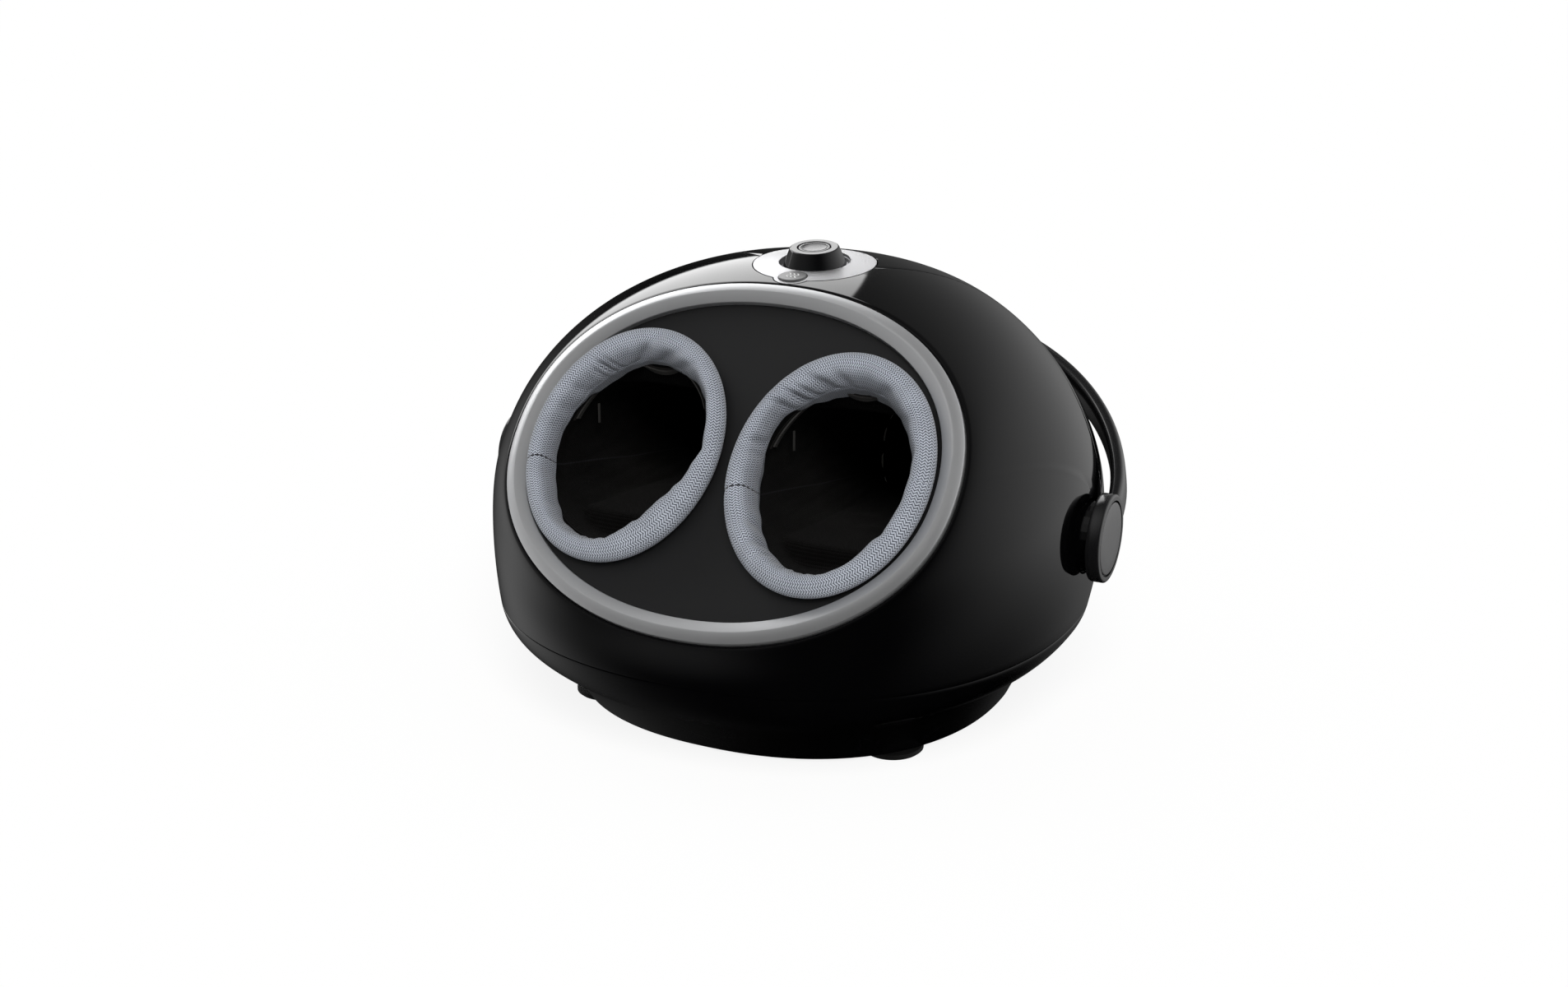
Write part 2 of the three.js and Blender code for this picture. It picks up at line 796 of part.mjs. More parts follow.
// A padded ring with folds on its inner side; its skirt is deepest at the top and the sides
function collar(side) {
  const bottom = panelTop + gap;
  const clothOut = gap + linerThickness + skirtClearance;
  const sections = [];
  for (let step = 0; step < collarSteps; step++) {
    const angle = (step / collarSteps) * 2 * Math.PI;
    const c = Math.cos(angle);
    const s = Math.sin(angle);
    const place = (x, v, h) => new THREE.Vector3(
      side * openingX + (openingHalfWidth + x) * c, openingV + (openingHalfLength + v) * s, bottom + h,
    );
    const gather = collarFold * Math.abs(s) ** collarFoldExponent * Math.cos(step * Math.PI);
    const skirt = collarSkirtSlack + collarSkirt * ease(-skirtStartShare, -skirtFullShare, s);
    const section = collarSectionShares.map(([across, rise]) => {
      const fold = gather * (1 - across) * rise;
      return place(across * collarWidthX + fold, across * collarWidthV + fold, rise * collarHeight);
    });
    section.push(place(-clothOut - collarCloth, -clothOut - collarCloth, 0));
    section.push(place(-clothOut - collarCloth, -clothOut - collarCloth, -skirt));
    section.push(place(-clothOut, -clothOut, -skirt));
    section.push(place(-clothOut, -clothOut, 0));
    sections.push(section);
  }
  return hoop(sections);
}

// Base

function basePlate() {
  const rings = (inset, lift, top) => {
    const ring = (outline, z) => {
      const points = [];
      for (let i = 0; i < domePoints; i++) {
        const p = levelPoint((i / domePoints) * 2 * Math.PI, outline, inset);
        points.push(p.setZ(z));
      }
      return points;
    };
    return toSolid(loft([ring(baseBottom, baseZ + lift), ring(baseTop, baseTop.z + top)]));
  };
  let tray = rings(0, 0, 0).subtract(rings(wall, wall, gap));
  const postTop = trayTop - trayThickness - gap;
  for (const x of [-postX, postX]) {
    for (const u of [-postU, postU]) {
      const foot = new THREE.Vector3(x, u, postTop).applyMatrix4(soleFrame.matrix);
      const post = toSolid(rod(postRadius, baseZ + wall / 2, foot.z + overrun).translate(x, foot.y, 0));
      const reach = postRadius + overrun;
      const cutter = new THREE.BoxGeometry(2 * reach, 2 * reach, 2 * reach);
      cutter.translate(x, u, postTop + reach);
      tray = tray.add(post.subtract(toSolid(cutter.applyMatrix4(soleFrame.matrix))));
    }
  }
  return tray;
}

function rubberFoot(x, y) {
  const top = baseZ - gap;
  const profile = [[0, 0], [footRadius - chamfer, 0], [footRadius, chamfer], [footRadius, top], [0, top]];
  return turned(profile, footPoints).translate(x, y, 0);
}

// Kneading drive, in the sole frame

function gearOutline(teeth, module, turn) {
  const pitchRadius = (teeth * module) / 2;
  const rootRadius = pitchRadius - toothRootShare * module;
  const tipRadius = pitchRadius + toothTipShare * module;
  const pitchAngle = (2 * Math.PI) / teeth;
  const points = [];
  for (let tooth = 0; tooth < teeth; tooth++) {
    for (const [height, share] of toothCornerShares) {
      const radius = mix(rootRadius, tipRadius, height);
      const angle = turn + (tooth + share) * pitchAngle;
      points.push(new THREE.Vector2(radius * Math.cos(angle), radius * Math.sin(angle)));
    }
  }
  return points;
}

const gearModule = (2 * openingX) / (gearTeeth + pinionTeeth);

function kneadingGear(side) {
  const outline = gearOutline(gearTeeth, gearModule, side > 0 ? Math.PI / gearTeeth : 0);
  const bore = circlePoints(driveShaftRadius + gap, smallPoints);
  return prism(outline, gearTop - gearThickness, gearTop, [bore]).translate(side * openingX, 0, 0);
}

function drivePinion() {
  const body = toSolid(prism(gearOutline(pinionTeeth, gearModule, 0), gearTop - gearThickness, gearTop));
  const shaft = rod(driveShaftRadius, trayTop - trayThickness - motorFlange - overrun, gearTop + wall);
  return body.add(toSolid(shaft));
}

function kneadingDisc(side) {
  const bottom = discTop - discThickness;
  const disc = [
    [driveShaftRadius + gap, bottom - discHubDrop],
    [driveShaftRadius + discHubWall, bottom - discHubDrop],
    [driveShaftRadius + discHubWall, bottom],
    [discRadius, bottom],
    [discRadius, discTop - chamfer],
    [discRadius - chamfer, discTop],
    [driveShaftRadius + gap, discTop],
    [driveShaftRadius + gap, bottom - discHubDrop],
  ];
  return turned(disc).translate(side * openingX, 0, 0);
}

function massageHead(side, place) {
  const angle = ((place + headPhaseShare) / headCount) * 2 * Math.PI;
  const bottom = discTop + gap;
  const top = bottom + headHeight;
  const shoulder = top - headRadius;
  const profile = [[0, bottom], [headRadius, bottom], [headRadius, shoulder]];
  for (let step = 1; step < headSteps; step++) {
    const turn = (step / headSteps) * (Math.PI / 2);
    profile.push([headRadius * Math.cos(turn), shoulder + headRadius * Math.sin(turn)]);
  }
  profile.push([0, top]);
  return turned(profile, smallPoints).translate(
    side * openingX + headCircle * Math.cos(angle), headCircle * Math.sin(angle), 0,
  );
}

function kneaderShaft(side) {
  return rod(driveShaftRadius, trayTop - trayThickness - wall, discTop).translate(side * openingX, 0, 0);
}

function shaftBush(side) {
  const profile = [
    [driveShaftRadius + gap, trayTop - trayThickness],
    [bushRadius, trayTop - trayThickness],
    [bushRadius, trayTop + gap],
    [bushFlangeRadius, trayTop + gap],
    [bushFlangeRadius, trayTop + gap + bushFlange],
    [driveShaftRadius + gap, trayTop + gap + bushFlange],
    [driveShaftRadius + gap, trayTop - trayThickness],
  ];
  return turned(profile, smallPoints).translate(side * openingX, 0, 0);
}

function driveTray() {
  const halfX = openingX + traySideReach;
  const shape = new THREE.Shape();
  const cornerX = halfX - trayCornerRadius;
  const cornerU = trayHalfLength - trayCornerRadius;
  const corners = [[cornerX, cornerU], [-cornerX, cornerU], [-cornerX, -cornerU], [cornerX, -cornerU]];
  corners.forEach(([x, u], i) => {
    shape.absarc(x, u, trayCornerRadius, (i * Math.PI) / 2, ((i + 1) * Math.PI) / 2, false);
  });
  const holes = [-openingX, 0, openingX].map(
    (x) => circlePoints(bushRadius + gap, smallPoints, x, 0),
  );
  return prism(shape.getPoints(trayCornerPoints), trayTop - trayThickness, trayTop, holes);
}

function gearMotor() {
  const top = trayTop - trayThickness - gap;
  const profile = [
    [0, top - motorLength],
    [motorRadius - motorChamfer, top - motorLength],
    [motorRadius, top - motorLength + motorChamfer],
    [motorRadius, top - motorFlange],
    [motorFlangeRadius, top - motorFlange],
    [motorFlangeRadius, top],
    [driveShaftRadius + gap, top],
    [driveShaftRadius + gap, top - motorFlange - overrun],
    [0, top - motorFlange - overrun],
  ];
  return turned(profile, roundPoints);
}

// Controls, in the control frame unless said otherwise

// In the world frame: it follows the crown of the dome, with a cup in it for the knob
function controlPlate() {
  const skin = domeSolid(-controlRise, 0).subtract(domeSolid(controlSkin, 0));
  const inFrame = (geometry) => toSolid(geometry.applyMatrix4(controlFrame.matrix));
  const cup = inFrame(rod(moatRadius + moatWall, -moatDepth - moatFloor, -controlSkin, roundPoints));
  const moat = inFrame(rod(moatRadius, -moatDepth, overrun, roundPoints));
  const shaftHole = inFrame(rod(knobShaftRadius + gap, -boardDrop, 0));
  const heatHole = rod(heatButtonRadius + gap, -boardDrop, overrun).translate(0, heatButtonV, 0);
  let plate = skin.intersect(controlPrism(0, knobHeight)).add(cup);
  for (const x of [-1, 1]) {
    for (const v of [-1, 1]) {
      const reach = boardPostReach * Math.SQRT1_2;
      const post = rod(boardPostRadius, -boardDrop + gap, -controlSkin, boardPostPoints);
      plate = plate.add(inFrame(post.translate(x * reach, v * reach, 0)));
    }
  }
  return plate.subtract(moat).subtract(shaftHole).subtract(inFrame(heatHole));
}

function controlKnob() {
  const bevel = knobBevel;
  const lip = pressRadius + pressClearance;
  return turned([
    [0, encoderTop - knobShaftReach],
    [knobShaftRadius, encoderTop - knobShaftReach],
    [knobShaftRadius, knobBottom],
    [knobRadius, knobBottom],
    [knobRadius, knobBottom + bevel],
    [knobTopRadius + bevel, knobHeight - bevel],
    [knobTopRadius, knobHeight],
    [lip, knobHeight],
    [lip, knobHeight - pressDepth],
    [0, knobHeight - pressDepth],
  ]);
}

function knobButton() {
  const bottom = knobHeight - pressDepth + pressTravel + gap;
  const top = knobHeight - pressSunk;
  return turned([
    [0, bottom],
    [pressRadius, bottom],
    [pressRadius, top - fineChamfer],
    [pressRadius - fineChamfer, top],
    [0, top],
  ]);
}

function heatButton() {
  const flangeTop = -heatFlangeDepth;
  const flange = heatButtonRadius + heatFlange;
  const stemBottom = encoderTop - heatSwitchDrop + heatTravel + gap;
  return turned([
    [0, stemBottom],
    [heatSwitchHalf, stemBottom],
    [heatSwitchHalf, flangeTop - heatFlangeThickness],
    [flange, flangeTop - heatFlangeThickness],
    [flange, flangeTop],
    [heatButtonRadius - heatClearance, flangeTop],
    [heatButtonRadius - heatClearance, heatProud - heatBevelHeight],
    [heatButtonRadius - heatBevelWidth, heatProud],
    [0, heatProud],
  ], smallPoints + smallPoints / 2).translate(0, heatButtonV, 0);
}

function controlBoard() {
  const outline = [
    new THREE.Vector2(-boardHalfWidth, -boardFront),
    new THREE.Vector2(boardHalfWidth, -boardFront),
    new THREE.Vector2(boardHalfWidth, boardBack),
    new THREE.Vector2(-boardHalfWidth, boardBack),
  ];
  return prism(outline, -boardDrop - boardThickness, -boardDrop);
}

function rotaryEncoder() {
  const bottom = -boardDrop + gap;
  const height = encoderTop - bottom;
  const box = new THREE.BoxGeometry(2 * encoderHalf, 2 * encoderHalf, height);
  box.translate(0, 0, bottom + height / 2);
  const bore = rod(knobShaftRadius + gap, encoderTop - knobShaftReach - gap, encoderTop + overrun);
  return toSolid(box).subtract(toSolid(bore));
}

function heatSwitch() {
  const bottom = -boardDrop + gap;
  const top = encoderTop - heatSwitchDrop;
  const box = new THREE.BoxGeometry(2 * heatSwitchHalf, 2 * heatSwitchHalf, top - bottom);
  return box.translate(0, heatButtonV, (top + bottom) / 2);
}

// Handle, in its own frame: x across, y out from the pivots, z out of the bail's plane

const handleFrame = new THREE.Group();
handleFrame.position.set(0, pivotY, pivotZ);
handleFrame.rotation.x = bailLean;

function carryHandle() {
  const sections = [];
  for (let step = 0; step <= bailSteps; step++) {
    const angle = mix(-bailOverlap, Math.PI + bailOverlap, step / bailSteps);
    const c = Math.cos(angle);
    const s = Math.sin(angle);
    const out = new THREE.Vector3(c / bailHalfWidth, s / bailReach, 0).normalize();
    const tuck = 1 - ease(0, bailTuckShare, Math.abs(s));
    const thickness = bailThickness - bailThinning * tuck;
    const halfWidth = bailHalfWidth + (bailThickness - thickness) / 2 - bailTuck * tuck;
    const centre = new THREE.Vector3(halfWidth * c, bailReach * s, 0);
    const section = [];
    for (let i = 0; i < bailSectionPoints; i++) {
      const turn = ((2 * i + 1) / bailSectionPoints) * Math.PI;
      const across = (thickness / 2) * signedPower(Math.cos(turn), 2 / bailExponent);
      const depth = (bailDepth / 2) * signedPower(Math.sin(turn), 2 / bailExponent);
      section.push(centre.clone().addScaledVector(out, across).setZ(depth));
    }
    sections.push(section);
  }
  const eyeProfile = [
    [0, eyeInnerX],
    [eyeRadius, eyeInnerX],
    [eyeRadius, eyeOuterX - chamfer],
    [eyeRadius - chamfer, eyeOuterX],
    [0, eyeOuterX],
  ];
  let handle = toSolid(loft(sections));
  for (const side of [-1, 1]) {
    const eye = toSolid(alongX(turned(eyeProfile), side));
    const seatRadius = capRadius + capGroove;
    const capSeat = rod(seatRadius, eyeOuterX - capDepth, bailHalfWidth + bailThickness, roundPoints);
    const headSeat = rod(pinHeadRadius + gap, eyeOuterX - capDepth - pinHead - gap, eyeOuterX);
    const bore = rod(pinRadius + gap, eyeInnerX - overrun, eyeOuterX);
    handle = handle
      .add(eye)
      .subtract(toSolid(alongX(capSeat, side)))
      .subtract(toSolid(alongX(headSeat, side)))
      .subtract(toSolid(alongX(bore, side)));
  }
  return handle;
}

function hingeCap(side) {
  const bottom = eyeOuterX - capDepth + gap;
  const crown = capProfileShares.map(([radius, rise]) => [capRadius * radius, eyeOuterX + capCrown * rise]);
  const cap = turned([[0, bottom], [capRadius, bottom], ...crown]);
  return alongX(cap, side);
}

// In the world frame
function hingePin(side) {
  const headBottom = eyeOuterX - capDepth - pinHead;
  const pin = turned([
    [0, pinInnerX],
    [pinRadius, pinInnerX],
    [pinRadius, headBottom],
    [pinHeadRadius, headBottom],
    [pinHeadRadius, headBottom + pinHead - gap],
    [0, headBottom + pinHead - gap],
  ], smallPoints);
  return alongX(pin, side).translate(0, pivotY, pivotZ);
}

// In the world frame: a round boss that comes out through the shell, flanged on the inside
function hingeBoss(side) {
  const place = (geometry) => toSolid(alongX(geometry, side).translate(0, pivotY, pivotZ));
  const inside = domeSolid(wall + gap, overrun);
  const flange = place(rod(bossFlangeRadius, bossInnerX, bailHalfWidth, roundPoints)).intersect(inside);
  const boss = place(rod(bossRadius, bossInnerX, bossFaceX, roundPoints));
  const sleeve = rod(bossSleeveRadius, bossInnerX - overrun, bailHalfWidth, roundPoints);
  const inner = rod(bossRadius - wall, bossInnerX - overrun, bossFaceX - wall, roundPoints);
  const bore = place(rod(pinRadius + gap, pinInnerX - gap, bailHalfWidth));
  return flange.add(boss).subtract(place(inner).subtract(place(sleeve))).subtract(bore);
}

function powerSocket() {
  const place = (radius, back, front) => {
    const geometry = rod(radius, socketFaceY - back, socketFaceY - front).rotateX(-Math.PI / 2);
    return toSolid(geometry.translate(0, 0, socketZ));
  };
  return place(socketFlangeRadius, socketFlangeDepth, 0)
    .intersect(lowerInside(wall + gap))
    .add(place(socketRadius, socketLength, 0))
    .subtract(place(socketBore, socketDepth, -overrun));
}

// Materials

function finish(color, roughness, metalness = 0) {
  return new THREE.MeshStandardMaterial({ color, roughness, metalness });
}

const glossBlack = finish(0x0c0c0e, 0.12);
const satinBlack = finish(0x252629, 0.5);
const coverGrey = finish(0x6e7074, 0.35);
const silver = finish(0xc9cacc, 0.35, 0.6);
const darkChrome = finish(0x3a3b3f, 0.15, 0.8);
const mesh = finish(0x8f95a3, 0.95);
const lining = finish(0x121214, 0.95);
const rubber = finish(0x1a1a1b, 0.9);
const innerPlastic = finish(0xd8d8d2, 0.6);
const acetal = finish(0xe9e6da, 0.45);
const steel = finish(0xa8abb0, 0.3, 1);
const brass = finish(0xb08d4a, 0.35, 1);
const boardGreen = finish(0x1f5a3a, 0.6);
const heaterRed = finish(0x8a3b2a, 0.7);

// Assembly

function addTo(parent, name, shape, material) {
  const geometry = shape.isBufferGeometry ? shape : toGeometry(shape);
  const piece = new THREE.Mesh(geometry, material);
  piece.name = name;
  parent.add(piece);
}

const group = new THREE.Group();
group.add(panelFrame, soleFrame, controlFrame, handleFrame);

const shell = upperShell();
addTo(group, 'front_housing', shell.subtract(behindArch(-gap / 2)), glossBlack);
addTo(group, 'rear_cover', shell.intersect(behindArch(gap / 2)), glossBlack);
addTo(group, 'lower_shell', lowerShell(), glossBlack);
addTo(group, 'base_plate', basePlate(), satinBlack);
addTo(panelFrame, 'trim_ring', trimRing(), silver);
addTo(panelFrame, 'front_panel', frontPanel(), satinBlack);
addTo(group, 'control_plate', controlPlate(), silver);
addTo(controlFrame, 'control_knob', controlKnob(), darkChrome);
addTo(controlFrame, 'knob_button', knobButton(), darkChrome);
addTo(controlFrame, 'heat_button', heatButton(), coverGrey);
addTo(controlFrame, 'control_board', controlBoard(), boardGreen);
addTo(controlFrame, 'rotary_encoder', rotaryEncoder(), steel);
addTo(controlFrame, 'heat_switch', heatSwitch(), satinBlack);
addTo(handleFrame, 'carry_handle', carryHandle(), satinBlack);
addTo(soleFrame, 'drive_tray', driveTray(), innerPlastic);
addTo(soleFrame, 'gear_motor', gearMotor(), steel);
addTo(soleFrame, 'drive_pinion', drivePinion(), steel);
addTo(group, 'power_socket', powerSocket(), satinBlack);

for (const [name, side] of [['left', -1], ['right', 1]]) {
  addTo(panelFrame, `${name}_collar`, collar(side), mesh);
  addTo(group, `${name}_liner`, liner(side), lining);
  addTo(group, `${name}_foot_well`, footWell(side), innerPlastic);
  addTo(group, `${name}_heating_pad`, heatingPad(side), heaterRed);
  addTo(soleFrame, `${name}_kneading_gear`, kneadingGear(side), acetal);
  addTo(soleFrame, `${name}_kneading_disc`, kneadingDisc(side), acetal);
  addTo(soleFrame, `${name}_kneader_shaft`, kneaderShaft(side), steel);
  addTo(soleFrame, `${name}_shaft_bush`, shaftBush(side), brass);
  for (let place = 0; place < headCount; place++) {
    addTo(soleFrame, `${name}_massage_head_${place + 1}`, massageHead(side, place), rubber);
  }
  addTo(handleFrame, `${name}_hinge_cap`, hingeCap(side), coverGrey);
  addTo(group, `${name}_hinge_pin`, hingePin(side), steel);
  addTo(group, `${name}_hinge_boss`, hingeBoss(side), satinBlack);
  addTo(group, `${name}_front_foot`, rubberFoot(side * footX, footFrontY), rubber);
  addTo(group, `${name}_rear_foot`, rubberFoot(side * footX, footBackY), rubber);
}

export default group;
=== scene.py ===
# %% [markdown]
# # Shiatsu foot massager: the looks
# The solids of the machine are finished and are loaded here as a fixed frame, in metres.
# The moulded covers, the padded collars and everything else that shows get a finer piece of their own
# in this lesson, on exactly the same measures, and the parts inside get a better finish.

# %% Load the frame
import math
import bmesh
import bpy
from mathutils import Matrix, Vector
from mathutils.bvhtree import BVHTree


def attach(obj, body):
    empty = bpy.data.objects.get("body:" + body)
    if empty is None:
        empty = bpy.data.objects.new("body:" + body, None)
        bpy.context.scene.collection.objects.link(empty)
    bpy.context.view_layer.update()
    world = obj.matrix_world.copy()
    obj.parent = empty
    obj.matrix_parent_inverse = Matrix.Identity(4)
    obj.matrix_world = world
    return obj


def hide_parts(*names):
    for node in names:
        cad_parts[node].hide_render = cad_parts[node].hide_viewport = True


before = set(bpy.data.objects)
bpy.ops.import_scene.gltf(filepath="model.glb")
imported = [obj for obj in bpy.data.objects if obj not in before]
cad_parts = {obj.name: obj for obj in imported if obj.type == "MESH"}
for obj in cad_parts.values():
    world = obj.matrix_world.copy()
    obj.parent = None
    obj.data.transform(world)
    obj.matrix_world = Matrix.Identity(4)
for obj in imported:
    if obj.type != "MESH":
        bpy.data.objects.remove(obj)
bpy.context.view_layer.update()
print("frame loaded with", len(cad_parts), "solids")

# %% [markdown]
# ## Working places
# Everything is modelled in millimetres, because a maker thinks in them, and is scaled to metres when the
# mesh is finished. Four working places are turned against the machine: the tilted front panel, the floor
# of the foot wells, the dial on the crown and the bail handle. A matrix for each lets a piece be drawn
# flat and then put where it belongs.

# %% The four working places
MM = 1000
WHITE = (1, 1, 1, 1)
SIDES = {"left": -1, "right": 1}
PIVOT = (0, 3, 130)
PANEL = Matrix.Translation((0, -104, 178)) @ Matrix.Rotation(math.radians(48.4), 4, "X")
SOLE = Matrix.Translation((0, -14, 110.06)) @ Matrix.Rotation(math.radians(-10), 4, "X")
DIAL = Matrix.Translation((0, 31, 279.08)) @ Matrix.Rotation(math.radians(5.946), 4, "X")
BAIL = Matrix.Translation(PIVOT) @ Matrix.Rotation(math.radians(25), 4, "X")
PANEL_OUT = (PANEL.to_3x3() @ Vector((0, 0, 1))).normalized()
print("the panel faces", [round(value, 3) for value in PANEL_OUT])

# %% Measures that several pieces share, in millimetres
OPENING_X, OPENING_Y = 69, 6.7
OPENING_WIDE, OPENING_HIGH = 50, 62.6
RING_WIDE, RING_TOP, RING_LOW = 148.5, 127.5, 110.5
RING_POWER = 2 / 2.13
RING_EGG = 0.047
LEVEL_Y = 14
WALL = 3
SEAM_GAP = 0.15
ROUND_STEPS = 288
PLATE_RADIUS, LOBE_RADIUS, LOBE_AWAY = 40, 12, 34.5
BOW_WIDE, BOW_DEEP = 211.3, 193.39
print("each opening is", 2 * OPENING_WIDE, "by", 2 * OPENING_HIGH, "mm in the panel")

# %% Small helpers for numbers
def signed_power(value, power):
    return math.copysign(abs(value) ** power, value)


def mix(a, b, share):
    return a + (b - a) * share


def ease(low, high, value):
    share = min(1, max(0, (value - low) / (high - low)))
    return share * share * (3 - 2 * share)


# %% [markdown]
# ## From mesh to piece
# A grid is the handiest start for a curved cover: it is made flat, with a UV map, and every point is then
# moved to where a formula of its two shares says. An outline that is spun makes the round pieces. Both
# merge doubles and get their faces turned outwards, and one small function hands each piece to its body.

# %% A grid that is moved point by point
def sheet_of(across, along, place):
    mesh = bmesh.new()
    mesh.loops.layers.uv.new("UVMap")
    bmesh.ops.create_grid(mesh, x_segments=across, y_segments=along, size=0.5, calc_uvs=True)
    for point in mesh.verts:
        point.co = Vector(place(point.co.x + 0.5, point.co.y + 0.5))
    bmesh.ops.remove_doubles(mesh, verts=mesh.verts, dist=0.004)
    return mesh


# %% Faces turned away from a centre
def face_away(mesh, centre, along=(1, 1, 1)):
    middle = Vector(centre)
    total = 0
    for face in mesh.faces:
        out = face.calc_center_median() - middle
        out = Vector([a * b for a, b in zip(out, along)])
        total += out.dot(face.normal) * face.calc_area()
    if total < 0:
        bmesh.ops.reverse_faces(mesh, faces=mesh.faces)
    return mesh


# %% An outline of radius and height, spun round its axis
def turned(profile, sides, place):
    mesh = bmesh.new()
    points = [mesh.verts.new((radius, 0, height)) for radius, height in profile]
    for a, b in zip(points, points[1:]):
        mesh.edges.new((a, b))
    bmesh.ops.spin(
        mesh, geom=mesh.verts[:] + mesh.edges[:], cent=(0, 0, 0), axis=(0, 0, 1),
        angle=2 * math.pi, steps=sides, use_merge=True,
    )
    bmesh.ops.remove_doubles(mesh, verts=mesh.verts, dist=0.004)
    bmesh.ops.recalc_face_normals(mesh, faces=mesh.faces)
    bmesh.ops.transform(mesh, matrix=place, verts=mesh.verts)
    return mesh


# %% Shading and placing of a finished mesh
def shade(data, sharp=32):
    for face in data.polygons:
        face.use_smooth = True
    data.set_sharp_from_angle(angle=math.radians(sharp))


def bare_object(mesh, name):
    bmesh.ops.scale(mesh, vec=(1 / MM, 1 / MM, 1 / MM), verts=mesh.verts)
    data = bpy.data.meshes.new(name)
    mesh.to_mesh(data)
    mesh.free()
    thing = bpy.data.objects.new(name, data)
    bpy.context.scene.collection.objects.link(thing)
    return thing


# %% Modifiers made final, and one solid cut with another
def settle(piece):
    bpy.context.view_layer.update()
    seen = piece.evaluated_get(bpy.context.evaluated_depsgraph_get())
    data = bpy.data.meshes.new_from_object(seen)
    old = piece.data
    piece.modifiers.clear()
    piece.data = data
    data.name = piece.name
    bpy.data.meshes.remove(old)


def combine(piece, tool_mesh, operation="DIFFERENCE"):
    tool = bare_object(tool_mesh, "tool")
    step = piece.modifiers.new("combine", "BOOLEAN")
    step.object = tool
    step.operation = operation
    step.solver = "MANIFOLD"
    settle(piece)
    bpy.data.objects.remove(tool)


def wall_and_edge(piece, wall, edge):
    """Gives a sheet its wall, inwards, and a small round on its edges; both in millimetres."""
    step = piece.modifiers.new("wall", "SOLIDIFY")
    step.thickness = wall / MM
    step.offset = -1
    step.use_even_offset = False
    if edge:
        step = piece.modifiers.new("edge", "BEVEL")
        step.width = edge / MM
        step.segments = 2
        step.limit_method = "ANGLE"
        step.angle_limit = math.radians(50)
    settle(piece)


# %% A finished piece handed to its body
def hand_over(piece, body, finish, slot, *nodes, sharp=32):
    shade(piece.data, sharp)
    piece.data.materials.clear()
    piece.data.materials.append(finish)
    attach(piece, body)
    if nodes:
        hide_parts(*nodes)
    print(piece.name, "has", len(piece.data.polygons), "faces and rides on", body)


def turned_piece(name, outline, sides, place, *where, sharp=24):
    hand_over(bare_object(turned(outline, sides, place), name), *where, sharp=sharp)


# %% A flat sheet drawn out to a plate
def draw_out(mesh, step):
    body = bmesh.ops.extrude_face_region(mesh, geom=mesh.faces[:])
    moved = [item for item in body["geom"] if isinstance(item, bmesh.types.BMVert)]
    bmesh.ops.translate(mesh, vec=step, verts=moved)
    bmesh.ops.recalc_face_normals(mesh, faces=mesh.faces)


# %% [markdown]
# ## Finishes: the parts that they share
# Moulded plastic is never quite even. Its grain comes from the tool, its gloss drifts a little from place
# to place, and its colour with it. One node group gives these three, with the size of the grain and the
# depth of the drift as inputs, and every plastic, rubber and metal here uses it with its own values.

# %% Helpers for node groups, sockets and sums
def new_group(name, inputs, outputs):
    group = bpy.data.node_groups.new(name, "ShaderNodeTree")
    for label, kind, value in inputs:
        socket = group.interface.new_socket(name=label, in_out="INPUT", socket_type=kind)
        socket.default_value = value
    for label, kind in outputs:
        group.interface.new_socket(name=label, in_out="OUTPUT", socket_type=kind)
    return group, group.nodes.new("NodeGroupInput"), group.nodes.new("NodeGroupOutput")


def feed(tree, node, feeds):
    """Gives each socket that feeds names the output that drives it, or its constant."""
    for socket, value in dict(feeds).items():
        if isinstance(value, bpy.types.NodeSocket):
            tree.links.new(value, node.inputs[socket])
        else:
            node.inputs[socket].default_value = value
    return node


def add_node(tree, kind, feeds=(), **settings):
    node = tree.nodes.new("ShaderNode" + kind)
    for label, value in settings.items():
        setattr(node, label, value)
    return feed(tree, node, feeds)


def add_math(tree, operation, *values):
    return add_node(tree, "Math", enumerate(values), operation=operation).outputs[0]


# %% The moulded surface group
def moulded_surface():
    group, source, result = new_group(
        "moulded_surface",
        [
            ("Colour", "NodeSocketColor", (0.1, 0.1, 0.1, 1)),
            ("Worn Colour", "NodeSocketColor", (0.12, 0.12, 0.12, 1)),
            ("Roughness", "NodeSocketFloat", 0.4),
            ("Roughness Drift", "NodeSocketFloat", 0.05),
            ("Grains per Metre", "NodeSocketFloat", 1500),
        ],
        [("Colour", "NodeSocketColor"), ("Roughness", "NodeSocketFloat"), ("Grain", "NodeSocketFloat")],
    )
    where = add_node(group, "TexCoord").outputs["Object"]
    slow = add_node(group, "TexNoise", {"Vector": where, "Scale": 22, "Detail": 4}).outputs["Fac"]
    fine = {"Vector": where, "Scale": source.outputs["Grains per Metre"], "Detail": 2}
    grain = add_node(group, "TexNoise", fine).outputs["Fac"]
    colours = {0: slow, 6: source.outputs["Colour"], 7: source.outputs["Worn Colour"]}
    tone = add_node(group, "Mix", colours, data_type="RGBA").outputs[2]
    drift = add_math(group, "SUBTRACT", slow, 0.5)
    drift = add_math(group, "MULTIPLY", drift, source.outputs["Roughness Drift"])
    rough = add_math(group, "ADD", drift, source.outputs["Roughness"])
    feed(group, result, {"Colour": tone, "Roughness": rough, "Grain": grain})
    return group


MOULDED = moulded_surface()
print("group", MOULDED.name, "has", len(MOULDED.nodes), "nodes")

# %% A plain finish made with the group
def new_finish(name, colour):
    finish = bpy.data.materials.new(name)
    finish.use_nodes = True
    finish.diffuse_color = (*colour, 1)
    return finish, finish.node_tree, finish.node_tree.nodes["Principled BSDF"]


